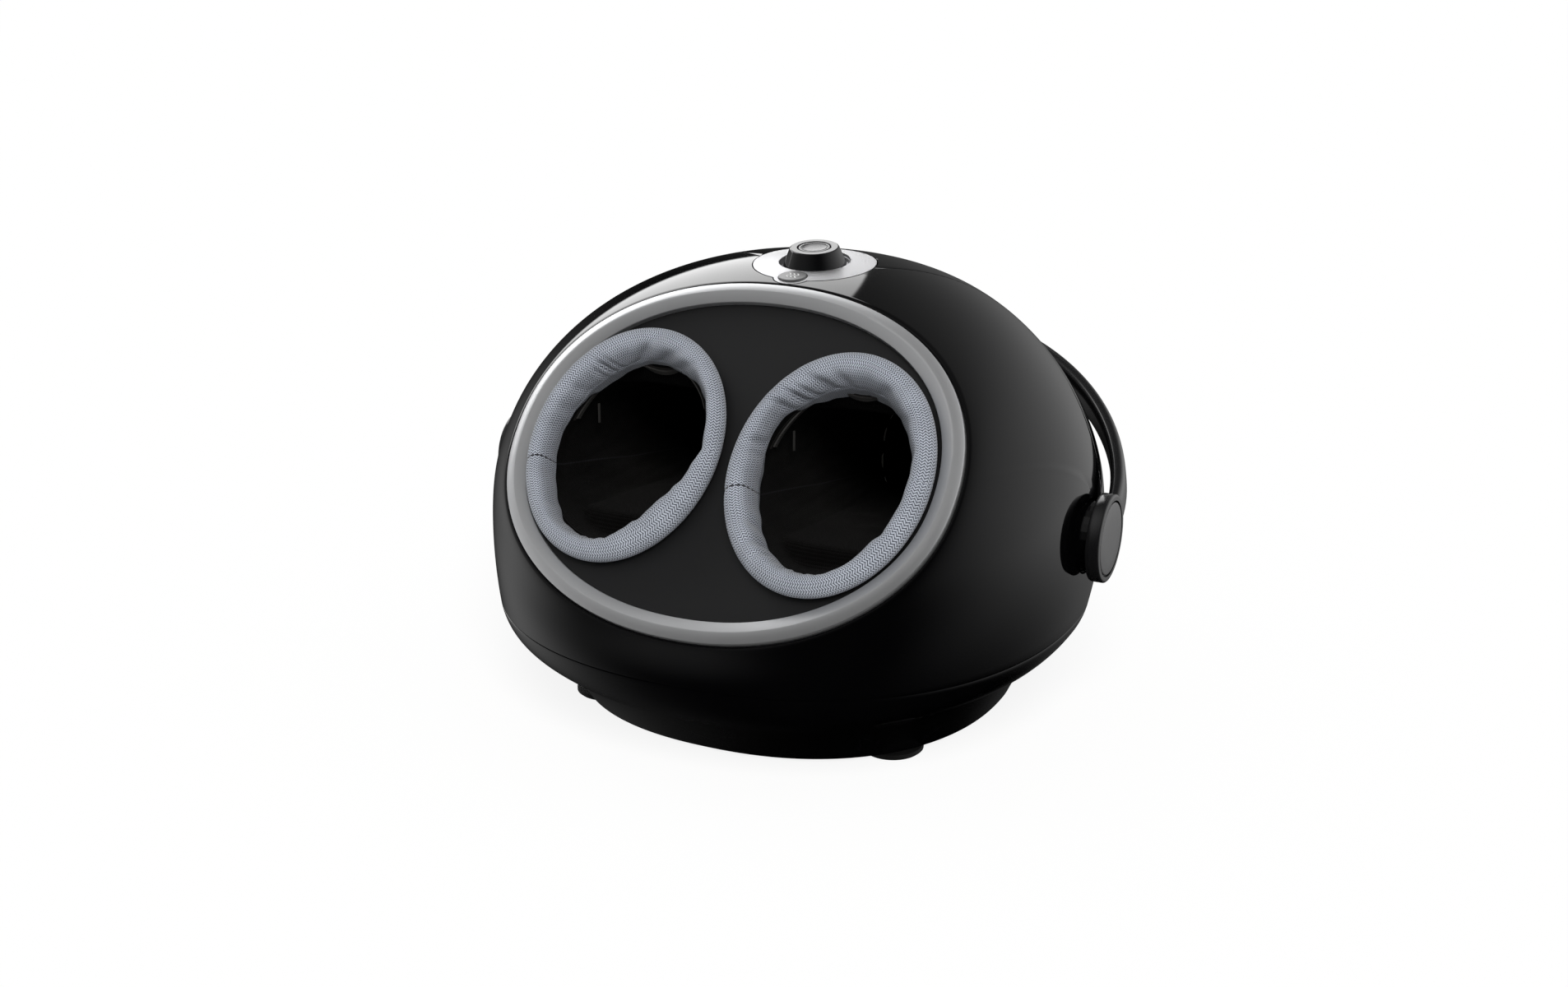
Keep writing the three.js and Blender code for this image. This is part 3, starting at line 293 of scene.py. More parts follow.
def plain_finish(name, colour, wear_and_shade, rough, drift=0.06, grains=1500, depth=0.02, metal=0.0, **shader):
    """depth is the depth of the grain in millimetres; shader names more sockets and their constants."""
    finish, tree, surface = new_finish(name, colour)
    group = add_node(tree, "Group", node_tree=MOULDED)
    feed(tree, group, {
        "Colour": (*colour, 1), "Worn Colour": (*wear_and_shade, 1), "Roughness": rough,
        "Roughness Drift": drift, "Grains per Metre": grains,
    })
    bump = add_node(tree, "Bump", {"Distance": depth / MM, "Height": group.outputs["Grain"]})
    feed(tree, surface, {
        "Normal": bump.outputs["Normal"], "Base Color": group.outputs["Colour"],
        "Roughness": group.outputs["Roughness"], "Metallic": metal,
    })
    feed(tree, surface, {label.replace("_", " "): value for label, value in shader.items()})
    return finish


# %% [markdown]
# ## Finishes: the list
# The covers are gloss black, polished in the tool, with almost no grain. The panel and the base are matt,
# eroded in the tool. The trim ring is painted silver, so it is metal with a soft gloss. Inside are the
# pale plastics, brass, steel and rubber that a repairer would find.

# %% Plastics
gloss_black = plain_finish(
    "gloss_black", (0.0008, 0.0008, 0.001), (0.0014, 0.0014, 0.0016), 0.045, 0.02, 60, 0.003,
    Specular_IOR_Level=0.29,
)
panel_black = plain_finish(
    "panel_black", (0.007, 0.007, 0.0075), (0.01, 0.01, 0.0105), 0.6, 0.08, 1600, 0.03,
    Specular_IOR_Level=0.38,
)
satin_black = plain_finish(
    "satin_black", (0.0012, 0.0012, 0.0014), (0.002, 0.002, 0.0022), 0.26, 0.1, 1400, 0.02,
)
handle_black = plain_finish(
    "handle_black", (0.006, 0.006, 0.0065), (0.009, 0.009, 0.0095), 0.16, 0.05, 900, 0.008,
)
cover_grey = plain_finish("cover_grey", (0.078, 0.078, 0.08), (0.1, 0.1, 0.102), 0.36, 0.08, 1200, 0.015)
inner_plastic = plain_finish("inner_plastic", (0.62, 0.61, 0.56), (0.7, 0.69, 0.65), 0.5, 0.12, 900, 0.04)
acetal = plain_finish("acetal", (0.72, 0.69, 0.6), (0.8, 0.78, 0.7), 0.34, 0.1, 900, 0.02)
rubber = plain_finish("rubber", (0.004, 0.004, 0.004), (0.008, 0.008, 0.0075), 0.82, 0.12, 1800, 0.05)
print("plastics are ready")

# %% Metals and the small parts inside
silver_trim = plain_finish(
    "silver_trim", (0.5, 0.505, 0.515), (0.56, 0.565, 0.575), 0.42, 0.08, 2600, 0.012, metal=0.75,
)
steel = plain_finish("steel", (0.42, 0.43, 0.45), (0.52, 0.53, 0.55), 0.3, 0.14, 1300, 0.015, metal=1.0)
brass = plain_finish("brass", (0.52, 0.36, 0.12), (0.6, 0.43, 0.16), 0.34, 0.15, 1300, 0.015, metal=1.0)
board_green = plain_finish("board_green", (0.012, 0.08, 0.035), (0.02, 0.1, 0.045), 0.45, 0.1, 700, 0.04)
heater_film = plain_finish("heater_film", (0.22, 0.05, 0.025), (0.28, 0.07, 0.04), 0.5, 0.1, 500, 0.05)
dark_chrome = plain_finish(
    "dark_chrome", (0.002, 0.002, 0.0024), (0.004, 0.004, 0.0045), 0.06, 0.03, 900, 0.003,
    Specular_IOR_Level=0.32,
)
print("metals are ready")

# %% [markdown]
# ## The domed shell
# The upper shell is one smooth dome that the arch-shaped seam parts into the front housing and the rear
# cover. Its shape is set by two outlines: the egg-shaped edge of the trim ring in the tilted panel, and
# the level seam above the lower shell. At every angle a cubic curve runs from one to the other. The
# solids have the same curves with few points. Here each cover is a fine grid along them, so reflections
# run clean, and then gets its wall of 3 mm.

# %% The two outlines
SEAM = {"wide": 193, "front": 200, "back": 156, "z": 69}
RIM = {"wide": 165, "front": 178, "back": 138, "z": 37}


def ring_point(angle, inset):
    s = math.sin(angle)
    length = (RING_TOP if s > 0 else RING_LOW) - inset
    v = length * signed_power(s, RING_POWER)
    egg = 1 + RING_EGG * v / (RING_TOP - inset)
    return (RING_WIDE - inset) * signed_power(math.cos(angle), RING_POWER) * egg, v


def level_point(angle, outline, inset=0.0, z=None):
    s = math.sin(angle)
    power = 2 / (2.05 if s > 0 else 2.25)
    depth = outline["back" if s > 0 else "front"] - inset
    x = (outline["wide"] - inset) * signed_power(math.cos(angle), power)
    return Vector((x, LEVEL_Y + depth * signed_power(s, power), outline["z"] if z is None else z))


def level_outwards(angle, outline):
    p = level_point(angle, outline)
    depth = outline["back" if math.sin(angle) > 0 else "front"]
    return Vector((p.x / outline["wide"] ** 2, (p.y - LEVEL_Y) / depth ** 2, 0)).normalized()


# %% The curve of the dome at one angle
# Each is given at the side, in front and at the back: degrees first, then shares of the chord
LEAVE_DROP, LEAVE_DROP_LOW = (31, 68, 39), 53
ARRIVE_BULGE = (12.5, -1, 0)
LEAVE_SHARE, ARRIVE_SHARE = (0.1, 0.22, 0.51), (0.8, 0.34, 0.68)


def around(side, front, back, angle):
    s = math.sin(angle)
    return mix(side, back if s > 0 else front, s * s)


def dome_curve(angle):
    x, v = ring_point(angle, -2.8)
    start = PANEL @ Vector((x, v, -2.7))
    end = level_point(angle, SEAM)
    across = Vector((x / RING_WIDE ** 2, v / 119 ** 2, 0)).normalized()
    low = min(math.sin(angle), 0) ** 4
    drop = math.radians(around(*LEAVE_DROP, angle) - LEAVE_DROP_LOW * low)
    leave = PANEL.to_3x3() @ across * math.cos(drop) - PANEL_OUT * math.sin(drop)
    bulge = math.radians(around(*ARRIVE_BULGE, angle))
    arrive = level_outwards(angle, SEAM) * math.sin(bulge) + Vector((0, 0, math.cos(bulge)))
    chord = (end - start).length
    first = start + leave * around(*LEAVE_SHARE, angle) * chord
    second = end + arrive * around(*ARRIVE_SHARE, angle) * chord
    return start, first, second, end


def on_curve(curve, t):
    a, b, c, d = curve
    s = 1 - t
    return a * s ** 3 + b * 3 * s * s * t + c * 3 * s * t * t + d * t ** 3


print("crown of the dome at", round(max(on_curve(dome_curve(math.pi / 2), t / 50).z for t in range(50)), 1))

# %% [markdown]
# ## The arch seam
# Seen from above, the seam crosses the crown straight and sweeps forward on both sides down to the level
# seam. It is drawn smoothly through a few places. Each cover ends where its curves cross that line, with
# a hair of space between the two.

# %% The line of the arch, drawn through five places
ARCH = [Vector(p) for p in ((36, 31), (70, 56), (106, 74), (152, 62), (210, 22))]


def arch_line(steps=24):
    places = [2 * ARCH[0] - ARCH[1], *ARCH, 2 * ARCH[-1] - ARCH[-2]]
    line = []
    for a, b, c, d in zip(places, places[1:], places[2:], places[3:]):
        before, here, after = ((b - a).length ** 0.5, (c - b).length ** 0.5, (d - c).length ** 0.5)
        leave = ((b - a) / before - (c - a) / (before + here) + (c - b) / here) * here
        arrive = ((c - b) / here - (d - b) / (here + after) + (d - c) / after) * here
        for i in range(steps):
            t = i / steps
            line.append(
                b * (2 * t ** 3 - 3 * t ** 2 + 1) + leave * (t ** 3 - 2 * t ** 2 + t)
                + c * (3 * t ** 2 - 2 * t ** 3) + arrive * (t ** 3 - t ** 2)
            )
    return line + [ARCH[-1]]


ARCH_LINE = arch_line()


def arch_y(x):
    x = abs(x)
    if x <= ARCH[0].x:
        return ARCH[0].y
    for a, b in zip(ARCH_LINE, ARCH_LINE[1:]):
        if x <= b.x:
            return mix(a.y, b.y, (x - a.x) / (b.x - a.x))
    return ARCH[-1].y


def arch_share(angle, shift):
    """The share of the dome's curve at which it crosses the arch; 1 where it never does."""
    curve = dome_curve(angle)

    def behind(t):
        p = on_curve(curve, t)
        return p.y - arch_y(p.x) - shift

    for i in range(60):
        if behind((i + 1) / 60) > 0:
            low, high = i / 60, (i + 1) / 60
            for _ in range(18):
                middle = (low + high) / 2
                low, high = (low, middle) if behind(middle) > 0 else (middle, high)
            return low
    return 1


def arch_foot(shift):
    """The angle at which the arch meets the level seam."""
    low, high = 0.0, 0.6
    for _ in range(24):
        middle = (low + high) / 2
        low, high = (low, middle) if arch_share(middle, shift) < 1 else (middle, high)
    return high


print("the arch meets the level seam at", round(math.degrees(arch_foot(0)), 2), "degrees")

# %% A point under the dome's skin
def dome_depth(angle, t, depth):
    """The point of the dome at an angle and share, moved inwards square to the skin."""
    spot = on_curve(dome_curve(angle), t)
    ahead = on_curve(dome_curve(angle + 0.002), t) - on_curve(dome_curve(angle - 0.002), t)
    low, high = max(0, t - 0.002), min(1, t + 0.002)
    down = on_curve(dome_curve(angle), high) - on_curve(dome_curve(angle), low)
    out = down.cross(ahead).normalized()
    return spot - out * depth


def inner_start(angle):
    """The share at which the inside of the wall comes clear of the ledge under the ring."""
    low, high = 0.0, 0.5
    for _ in range(14):
        middle = (low + high) / 2
        h = (PANEL.inverted() @ dome_depth(angle, middle, WALL)).z
        low, high = (low, middle) if h < -10.3 else (middle, high)
    return high


# %% Front housing: one closed section, carried round the machine
SEAT = [(12, -7), (5, -7), (-0.25, -7), (-0.35, -3.6), (-0.9, -2.75), (-1.8, -2.4)]
EDGE = [(0.7, 0), (0.35, 0.07), (0.1, 0.3), (0, 0.7)]


def section_rows(angle, start, end, outer=54, inner=24):
    """Points down the outside, round the soft lower edge and up the inside of a cover."""
    curve = dome_curve(angle)
    length = sum((b - a).length for a, b in zip(curve, curve[1:]))
    rows = [on_curve(curve, mix(start, end - 0.9 / length, i / outer)) for i in range(outer)]
    rows += [dome_depth(angle, end - back / length, depth) for back, depth in EDGE]
    top = max(start, inner_start(angle)) if start == 0 else start
    rows += [dome_depth(angle, mix(end, top, i / inner), WALL) for i in range(inner + 1)]
    return rows


front_sections = {}


def front_section(angle):
    rows = []
    for inset, h in SEAT:
        x, y = ring_point(angle, inset)
        rows.append(PANEL @ Vector((x, y, h)))
    rows += section_rows(angle, 0, arch_share(angle, -SEAM_GAP))
    x, y = ring_point(angle, 12)
    return rows + [PANEL @ Vector((x, y, -10)), rows[0]]


FRONT_ROWS = len(front_section(0)) - 1


def front_place(u, v):
    key = round(u * ROUND_STEPS) % ROUND_STEPS
    if key not in front_sections:
        front_sections[key] = front_section(2 * math.pi * key / ROUND_STEPS)
    return front_sections[key][round(v * FRONT_ROWS)]


front_mesh = sheet_of(ROUND_STEPS, FRONT_ROWS, front_place)
bmesh.ops.recalc_face_normals(front_mesh, faces=front_mesh.faces)
closed = all(edge.is_manifold for edge in front_mesh.edges)
print("front housing has", len(front_mesh.faces), "faces and is closed:", closed)

# %% Rear cover: from the arch to the level seam
def rear_mesh_of(columns=200, rows=44):
    foot = arch_foot(SEAM_GAP)
    kept = {}

    def place(u, v):
        angle = mix(foot, math.pi - foot, u)
        if u not in kept:
            kept[u] = (dome_curve(angle), arch_share(angle, SEAM_GAP))
        curve, share = kept[u]
        return on_curve(curve, mix(share, 1, v))

    return face_away(sheet_of(columns, rows, place), (0, 10, 120))


rear_mesh = rear_mesh_of()
print("rear cover sheet has", len(rear_mesh.faces), "faces")

# %% A copy of the whole dome, to lay other pieces on
dome_mesh = sheet_of(144, 72, lambda u, v: on_curve(dome_curve(2 * math.pi * u), v))
DOME = BVHTree.FromBMesh(dome_mesh)
dome_mesh.free()


def on_dome(x, y):
    """The point of the dome straight above or below x and y in the dial's place, and its direction."""
    down = DIAL.to_3x3() @ Vector((0, 0, -1))
    hit, normal, _, _ = DOME.ray_cast(DIAL @ Vector((x, y, 60)), down)
    return hit, normal if normal.z > 0 else -normal


print("the dial's centre lies on the dome at", [round(value, 2) for value in on_dome(0, 0)[0]])

# %% [markdown]
# ## Cuts in the shell
# Two round notches at the sides let the handle's bosses through, and a shallow pocket on the crown takes
# the dial plate. On the real shell these are formed by the tool. Here they are cut with simple solids,
# after the wall and the soft edges are made, because then the walls of the cuts are clean.

# %% Cutting solids for the notches and for the pocket
def notch_tool(side):
    across = Matrix.Translation(PIVOT) @ Matrix.Rotation(side * math.pi / 2, 4, "Y")
    return turned([(0, 150), (24.3, 150), (24.3, 230), (0, 230)], 96, across)


def plate_reach(angle, grow=0.0):
    """How far the outline of the dial plate is from its centre: a circle with a lobe at the front."""
    wide = LOBE_RADIUS + grow
    turn = angle + math.pi / 2
    turn = math.atan2(math.sin(turn), math.cos(turn))
    if abs(turn) < math.pi / 2 and abs(LOBE_AWAY * math.sin(turn)) < wide:
        lobe = LOBE_AWAY * math.cos(turn) + math.sqrt(wide ** 2 - (LOBE_AWAY * math.sin(turn)) ** 2)
        return max(PLATE_RADIUS + grow, lobe)
    return PLATE_RADIUS + grow


def plate_tool(grow, bottom, top):
    def place(u, v):
        angle = 2 * math.pi * u
        reach = plate_reach(angle, grow)
        radius, height = [(0, bottom), (reach, bottom), (reach, top), (0, top)][round(v * 3)]
        return DIAL @ Vector((radius * math.cos(angle), radius * math.sin(angle), height))

    return face_away(sheet_of(240, 3, place), DIAL @ Vector((0, 0, (bottom + top) / 2)))


# %% Front housing and rear cover finished
front_housing = bare_object(front_mesh, "front_housing_cover")
rear_cover = bare_object(rear_mesh, "rear_cover_shell")
wall_and_edge(rear_cover, WALL, 0.7)
for cover in (front_housing, rear_cover):
    for side in SIDES.values():
        combine(cover, notch_tool(side))
    combine(cover, plate_tool(0.8, -14, 12))
hand_over(front_housing, "housing", gloss_black, "gloss_black", "front_housing")
hand_over(rear_cover, "housing", gloss_black, "gloss_black", "rear_cover")

# %% [markdown]
# ## Lower shell, base and feet
# Under the level seam the lower shell curves in to a soft rim. The base stands back under it and carries
# four round rubber feet. The lower shell is a grid again, from the seam round the rim to its inner lip,
# and the base is one closed skin that starts and ends at a centre point.

# %% Lower shell
def lower_curve(angle):
    start = level_point(angle, SEAM, 0, 68.7)
    end = level_point(angle, RIM)
    out = level_outwards(angle, SEAM)
    lean = math.radians(around(14, 4, 4, angle))
    leave = -out * math.sin(lean) - Vector((0, 0, math.cos(lean)))
    arrive = out * math.cos(math.radians(38)) + Vector((0, 0, math.sin(math.radians(38))))
    chord = (end - start).length
    return start, start + leave * 0.4 * chord, end + arrive * 0.4 * chord, end


def lower_place(u, v):
    angle = 2 * math.pi * u
    row = v * 22
    if row < 18.5:
        return on_curve(lower_curve(angle), row / 18)
    return level_point(angle, RIM, (row - 18) * 9 / 4)


lower_shell = bare_object(face_away(sheet_of(ROUND_STEPS, 22, lower_place), (0, 10, 90)), "lower_shell_skin")
wall_and_edge(lower_shell, WALL, 0.6)
jack_hole = Matrix.Translation((0, 0, 55)) @ Matrix.Rotation(-math.pi / 2, 4, "X")
combine(lower_shell, turned([(0, 120), (6, 120), (6, 200), (0, 200)], 64, jack_hole))
hand_over(lower_shell, "housing", gloss_black, "gloss_black", "lower_shell")

# %% Base
BASE = {"wide": 144, "front": 146, "back": 121, "z": 4}
BASE_TOP, BASE_FLOOR = 36.6, 5.2


def base_place(u, v):
    angle = 2 * math.pi * u
    row = round(v * 12)
    if row == 0:
        return Vector((0, LEVEL_Y, 30))
    if row == 12:
        return Vector((0, LEVEL_Y, BASE_FLOOR))
    top = level_point(angle, RIM, 4, BASE_TOP)
    foot = level_point(angle, BASE)
    if row == 1:
        return level_point(angle, RIM, 8, BASE_TOP)
    if row <= 9:
        share = (row - 2) / 7
        return top.lerp(foot, share) + Vector((0, 0, 1.4 * math.sin(math.pi * share)))
    return level_point(angle, BASE, (row - 9) * 3, 4 if row == 10 else BASE_FLOOR)


base = bare_object(face_away(sheet_of(240, 12, base_place), (0, 10, 20)), "base_tray")
hand_over(base, "housing", satin_black, "satin_black", "base_plate")

# %% Feet
FEET = {
    "left_front": (-102, -76), "right_front": (102, -76), "left_rear": (-102, 98), "right_rear": (102, 98),
}
FOOT = [(0, 0.5), (13, 0.5), (14, 0), (18.6, 0), (20, 1.2), (20, 3), (19.6, 3.7), (0, 3.7)]
for label, (x, y) in FEET.items():
    turned_piece(
        f"{label}_rubber_foot", FOOT, 72, Matrix.Translation((x, y, 0)),
        "housing", rubber, "rubber", f"{label}_foot", sharp=32,
    )

# %% [markdown]
# ## Trim ring and front panel
# The ring is a painted moulding with two slanting facets that meet in a soft ridge. A section of it is
# carried round the egg-shaped outline. The panel inside it is a flat plate with two oval openings: three
# loops of edges are filled at once and then drawn down to the thickness of the plate.

# %% Trim ring
RING_SECTION = [
    (0.0, -6.7), (0.0, -0.4), (0.12, 0.1), (0.6, 0.62), (3.4, 2.0), (5.6, 3.06), (6.5, 3.2), (7.4, 2.95),
    (9.6, 2.1), (12.6, 0.85), (13.3, 0.45), (13.5, 0.0), (13.5, -3.4), (3.6, -3.4), (3.6, -6.7), (0.0, -6.7),
]


def ring_place(u, v):
    inset, h = RING_SECTION[round(v * (len(RING_SECTION) - 1))]
    x, y = ring_point(2 * math.pi * u, inset)
    return PANEL @ Vector((x, y, h))


ring_mesh = sheet_of(ROUND_STEPS, len(RING_SECTION) - 1, ring_place)
bmesh.ops.recalc_face_normals(ring_mesh, faces=ring_mesh.faces)
trim_ring = bare_object(ring_mesh, "silver_trim_ring")
hand_over(trim_ring, "housing", silver_trim, "silver_trim", "trim_ring", sharp=24)

# %% Front panel
def loop_of(mesh, count, place):
    """A closed loop of edges through count places."""
    ring = bmesh.ops.create_circle(mesh, cap_ends=False, radius=1, segments=count)["verts"]
    for point in ring:
        point.co = Vector(place(math.atan2(point.co.y, point.co.x)))
    return ring


panel_mesh = bmesh.new()
PANEL_FACE = -3.7


def opening_edge(side, angle):
    x, y = OPENING_WIDE * math.cos(angle), OPENING_HIGH * math.sin(angle)
    return OPENING_X * side + x, OPENING_Y + y, PANEL_FACE


loop_of(panel_mesh, 240, lambda angle: (*ring_point(angle, 4), PANEL_FACE))
for side in SIDES.values():
    loop_of(panel_mesh, 128, lambda angle, side=side: opening_edge(side, angle))
bmesh.ops.triangle_fill(panel_mesh, use_beauty=True, edges=panel_mesh.edges)
draw_out(panel_mesh, (0, 0, -WALL))
bmesh.ops.transform(panel_mesh, matrix=PANEL, verts=panel_mesh.verts)
front_panel = bare_object(panel_mesh, "matt_front_panel")
hand_over(front_panel, "housing", panel_black, "satin_black", "front_panel")

# %% [markdown]
# ## Knitted cloth of the collars
# The collars are covered with a blue-grey knitted mesh: columns of small raised stitches that lean one
# way and then the other, with dark gaps between them, about a millimetre and a half apart. The stitches
# follow the cloth, so the pattern reads the UV map of the collar, scaled to millimetres. Painted shade
# darkens the cloth's colour from the crest of the tube towards the opening. A dashed seam crosses the tube at
# its left side.

# %% The knit group: stitches, gaps, the seam and the painted shade
def knit_surface():
    group, source, result = new_group(
        "knit_surface",
        [
            ("Around", "NodeSocketFloat", 390), ("Across", "NodeSocketFloat", 58),
            ("Pitch", "NodeSocketFloat", 1.8), ("Seam", "NodeSocketFloat", 0.547),
        ],
        [
            ("Stitch", "NodeSocketFloat"), ("Thread", "NodeSocketFloat"), ("Drift", "NodeSocketFloat"),
            ("Painted Shade", "NodeSocketFloat"),
        ],
    )

    def calc(operation, *values):
        return add_math(group, operation, *values)

    parts = add_node(group, "SeparateXYZ", {0: add_node(group, "UVMap", uv_map="UVMap").outputs["UV"]})
    around, pitch = source.outputs["Around"], source.outputs["Pitch"]
    u = calc("MULTIPLY", parts.outputs["X"], around)
    v = calc("MULTIPLY", parts.outputs["Y"], source.outputs["Across"])
    row = calc("DIVIDE", v, calc("MULTIPLY", pitch, 0.7))
    lean = calc("MULTIPLY", calc("PINGPONG", row, 1), 0.85)
    column = calc("MULTIPLY", calc("ADD", calc("DIVIDE", u, pitch), lean), math.pi)
    stitch = calc("ABSOLUTE", calc("SINE", column))
    course = calc("ABSOLUTE", calc("SINE", calc("MULTIPLY", row, math.pi)))
    course = calc("MULTIPLY", calc("POWER", course, 0.5), 0.5)
    stitch = calc("MULTIPLY", stitch, calc("ADD", course, 0.5))
    near = calc("ABSOLUTE", calc("SUBTRACT", parts.outputs["X"], source.outputs["Seam"]))
    line = calc("LESS_THAN", calc("MULTIPLY", near, around), 0.45)
    dash = calc("LESS_THAN", calc("FRACT", calc("DIVIDE", v, 2.6)), 0.86)
    where = add_node(group, "TexCoord").outputs["Object"]
    slow = add_node(group, "TexNoise", {"Vector": where, "Scale": 60}).outputs["Fac"]
    # Painted shade: a factor that is 0.34 on the side of the cloth towards the opening and 1 on the crest of
    # the tube
    reach = {"Value": parts.outputs["Y"], "From Min": 0.24, "From Max": 0.5, "To Min": 0.34}
    crest = add_node(group, "MapRange", reach, interpolation_type="SMOOTHSTEP").outputs[0]
    thread = calc("MULTIPLY", line, dash)
    feed(group, result, {"Stitch": stitch, "Thread": thread, "Drift": slow, "Painted Shade": crest})
    return group


KNIT = knit_surface()

# %% The knitted finish
def knit_finish(name, gap_colour, stitch_colour, around, across, pitch, sheen=0.25, gloss=0.25):
    finish, tree, surface = new_finish(name, stitch_colour)
    knit = add_node(tree, "Group", node_tree=KNIT)
    feed(tree, knit, {"Around": around, "Across": across, "Pitch": pitch})
    ramp = add_node(tree, "ValToRGB", {0: knit.outputs["Stitch"]})
    for stop, position, colour in zip(ramp.color_ramp.elements, (0.2, 0.8), (gap_colour, stitch_colour)):
        stop.position = position
        stop.color = (*colour, 1)
    # The stitch colour is multiplied by a slow random tone and by the painted shade that darkens the cloth
    # towards the opening
    wear_and_shade = add_math(tree, "MULTIPLY", knit.outputs["Drift"], 0.35)
    wear_and_shade = add_math(tree, "MULTIPLY", add_math(tree, "ADD", wear_and_shade, 0.72), knit.outputs["Painted Shade"])
    layers = {0: 0.85, 6: ramp.outputs[0], 7: wear_and_shade}
    tone = add_node(tree, "Mix", data_type="RGBA", blend_type="MULTIPLY")
    feed(tree, tone, layers)
    thread = add_node(tree, "Mix", data_type="RGBA")
    feed(tree, thread, {0: knit.outputs["Thread"], 6: tone.outputs[2], 7: (0.012, 0.012, 0.014, 1)})
    relief = {"Distance": 0.0004, "Strength": 0.7, "Height": knit.outputs["Stitch"]}
    bump = add_node(tree, "Bump", relief)
    feed(tree, surface, {
        "Base Color": thread.outputs[2], "Normal": bump.outputs["Normal"], "Roughness": 0.88,
        "Specular IOR Level": gloss, "Sheen Weight": sheen, "Sheen Roughness": 0.5,
    })
    return finish


collar_mesh = knit_finish("collar_mesh", (0.04, 0.045, 0.062), (0.6, 0.64, 0.725), 390, 58, 1.6)
lining_cloth = knit_finish(
    "lining_cloth", (0.0012, 0.001, 0.0009), (0.0045, 0.0038, 0.0034), 330, 200, 1.2, 0.02, 0.08,
)
print("cloths are ready")

# %% [markdown]
# ## Padded collars
# Each collar is a tube of foam in knitted cloth, laid round the opening and drawn together inside, so
# the cloth gathers into creases at the inner top and into small puckers at the inner bottom. The tube is
# a grid bent round an ellipse. Its creases start in the pattern, as the sewing does. Cloth simulation
# with a little pressure then fills the tube while the stitched edge is held, so that the cloth swells
# between the creases, and the movement is capped.

# %% The section of a collar: across and height in millimetres, from the inner edge of the skirt
COLLAR_BOTTOM = -3.4
SKIRT_LINE, UNDER_LINE = -3.7, -2.1
SKIRT_ROWS, CUSHION_ROWS, ALL_ROWS = 6, 20, 22
SKIRT_HANG = 0.6
CREASE_GAIN, PUCKER_GAIN = 1.7, 1.5
THREAD_AT, THREAD_AROUND = 0.547, 390
COLLAR_SECTION = [
    (-3.7, 0), (-3.4, 2.6), (-2.0, 6.6), (-0.3, 11.8), (2.2, 15.0), (6.5, 16.4), (10.8, 14.8), (14.1, 10.4),
    (15.1, 5.8), (14.3, 2.2), (11.6, 0), (6, 0), (0, 0), (-2.1, 0),
]


def on_section(v):
    """A smooth closed line through the section: the skirt's inside, the cushion, its underside."""
    count = len(COLLAR_SECTION)
    place = v * count
    i = int(place) % count
    t = place - int(place)
    a, b, c, d = (Vector(COLLAR_SECTION[(i + k) % count]) for k in (-1, 0, 1, 2))
    square, cube = 2 * a - 5 * b + 4 * c - d, 3 * b - a - 3 * c + d
    return 0.5 * (2 * b + (c - a) * t + square * t * t + cube * t ** 3)


# %% The inner edge of each collar, and the creases that the sewing draws
# Degrees round the opening from its right side, then the edge and how deep the skirt hangs, in millimetres
INNER_EDGE = {
    "left": [
        (0, 1.0, 0.6), (20, 1.0, 0.6), (45, 0.3, 0.6), (68, -2.2, 4), (95, -2.9, 5), (117, -3.4, 6),
        (127, -3.2, 8), (140, -3.0, 7), (150, -2.9, 2), (165, -2.2, 0.6), (180, -1.8, 0.6),
        (210, -1.4, 0.6), (228, -0.8, 0.6), (240, 1.2, 0.6), (262, 1.2, 0.6), (280, 0.4, 0.6),
        (292, -3.0, 0.6), (303, -7.0, 0.6), (320, -9.0, 0.6), (334, -6.0, 0.6), (342, -2.2, 0.6),
        (350, -1.5, 0.6), (356, 0.5, 0.6),
    ],
    "right": [
        (0, -2.4, 0.6), (30, -3.0, 9), (60, -3.5, 12), (90, -3.6, 12), (115, -3.2, 10), (128, -3.0, 5),
        (150, -0.4, 0.6), (165, -1.4, 0.6), (183, -3.2, 4), (198, -4.4, 3), (212, -4.9, 2),
        (226, -3.4, 1), (240, -1.8, 0.6), (262, 0.8, 0.6), (285, 0.8, 0.6), (305, -0.2, 0.6),
        (320, -2.2, 0.6), (333, -1.4, 0.6), (345, -1.8, 0.6),
    ],
}
# Degrees, half width in degrees, depth in millimetres, and how far the crease leans on its way out
CREASES = {
    "left": [
        (125, 2.6, 3.4, 9), (132, 2.0, 2.2, 6), (118, 2.2, 1.6, 12), (104, 5.0, 1.9, -16),
        (86, 5.5, 1.6, -20), (70, 5.0, 1.3, -18), (147, 3.5, 1.2, 8), (163, 4.0, 0.9, 5),
        (40, 6.0, 0.8, -12), (205, 5.0, 0.7, -4), (232, 4.0, 0.7, -8), (356, 4.0, 1.2, 6),
        (300, 5.0, 0.7, 10),
    ],
    "right": [
        (129, 2.8, 3.2, 10), (120, 2.4, 1.8, 14), (107, 4.5, 2.2, 18), (94, 5.0, 1.3, 16),
        (140, 2.6, 1.8, 8), (166, 3.2, 2.2, 7), (173, 2.6, 1.4, 5), (70, 6.0, 1.3, -14),
        (45, 5.0, 0.8, -12), (222, 3.6, 1.4, -7), (236, 3.0, 1.6, -6), (246, 2.6, 1.2, -5),
        (322, 4.0, 1.0, 8), (12, 5.0, 0.7, 8),
    ],
}


def inner_edge(name, angle):
    places = INNER_EDGE[name]
    degrees = math.degrees(angle) % 360
    for a, b in zip(places, [*places[1:], (360, *places[0][1:])]):
        if degrees <= b[0]:
            share = ease(a[0], b[0], degrees)
            edge = mix(a[1], b[1], share)
            hang = mix(a[2], b[2], share) - SKIRT_HANG
            return edge, SKIRT_HANG + hang * (1 - ease(-2.2, -1.7, edge))
    return places[0][1:]


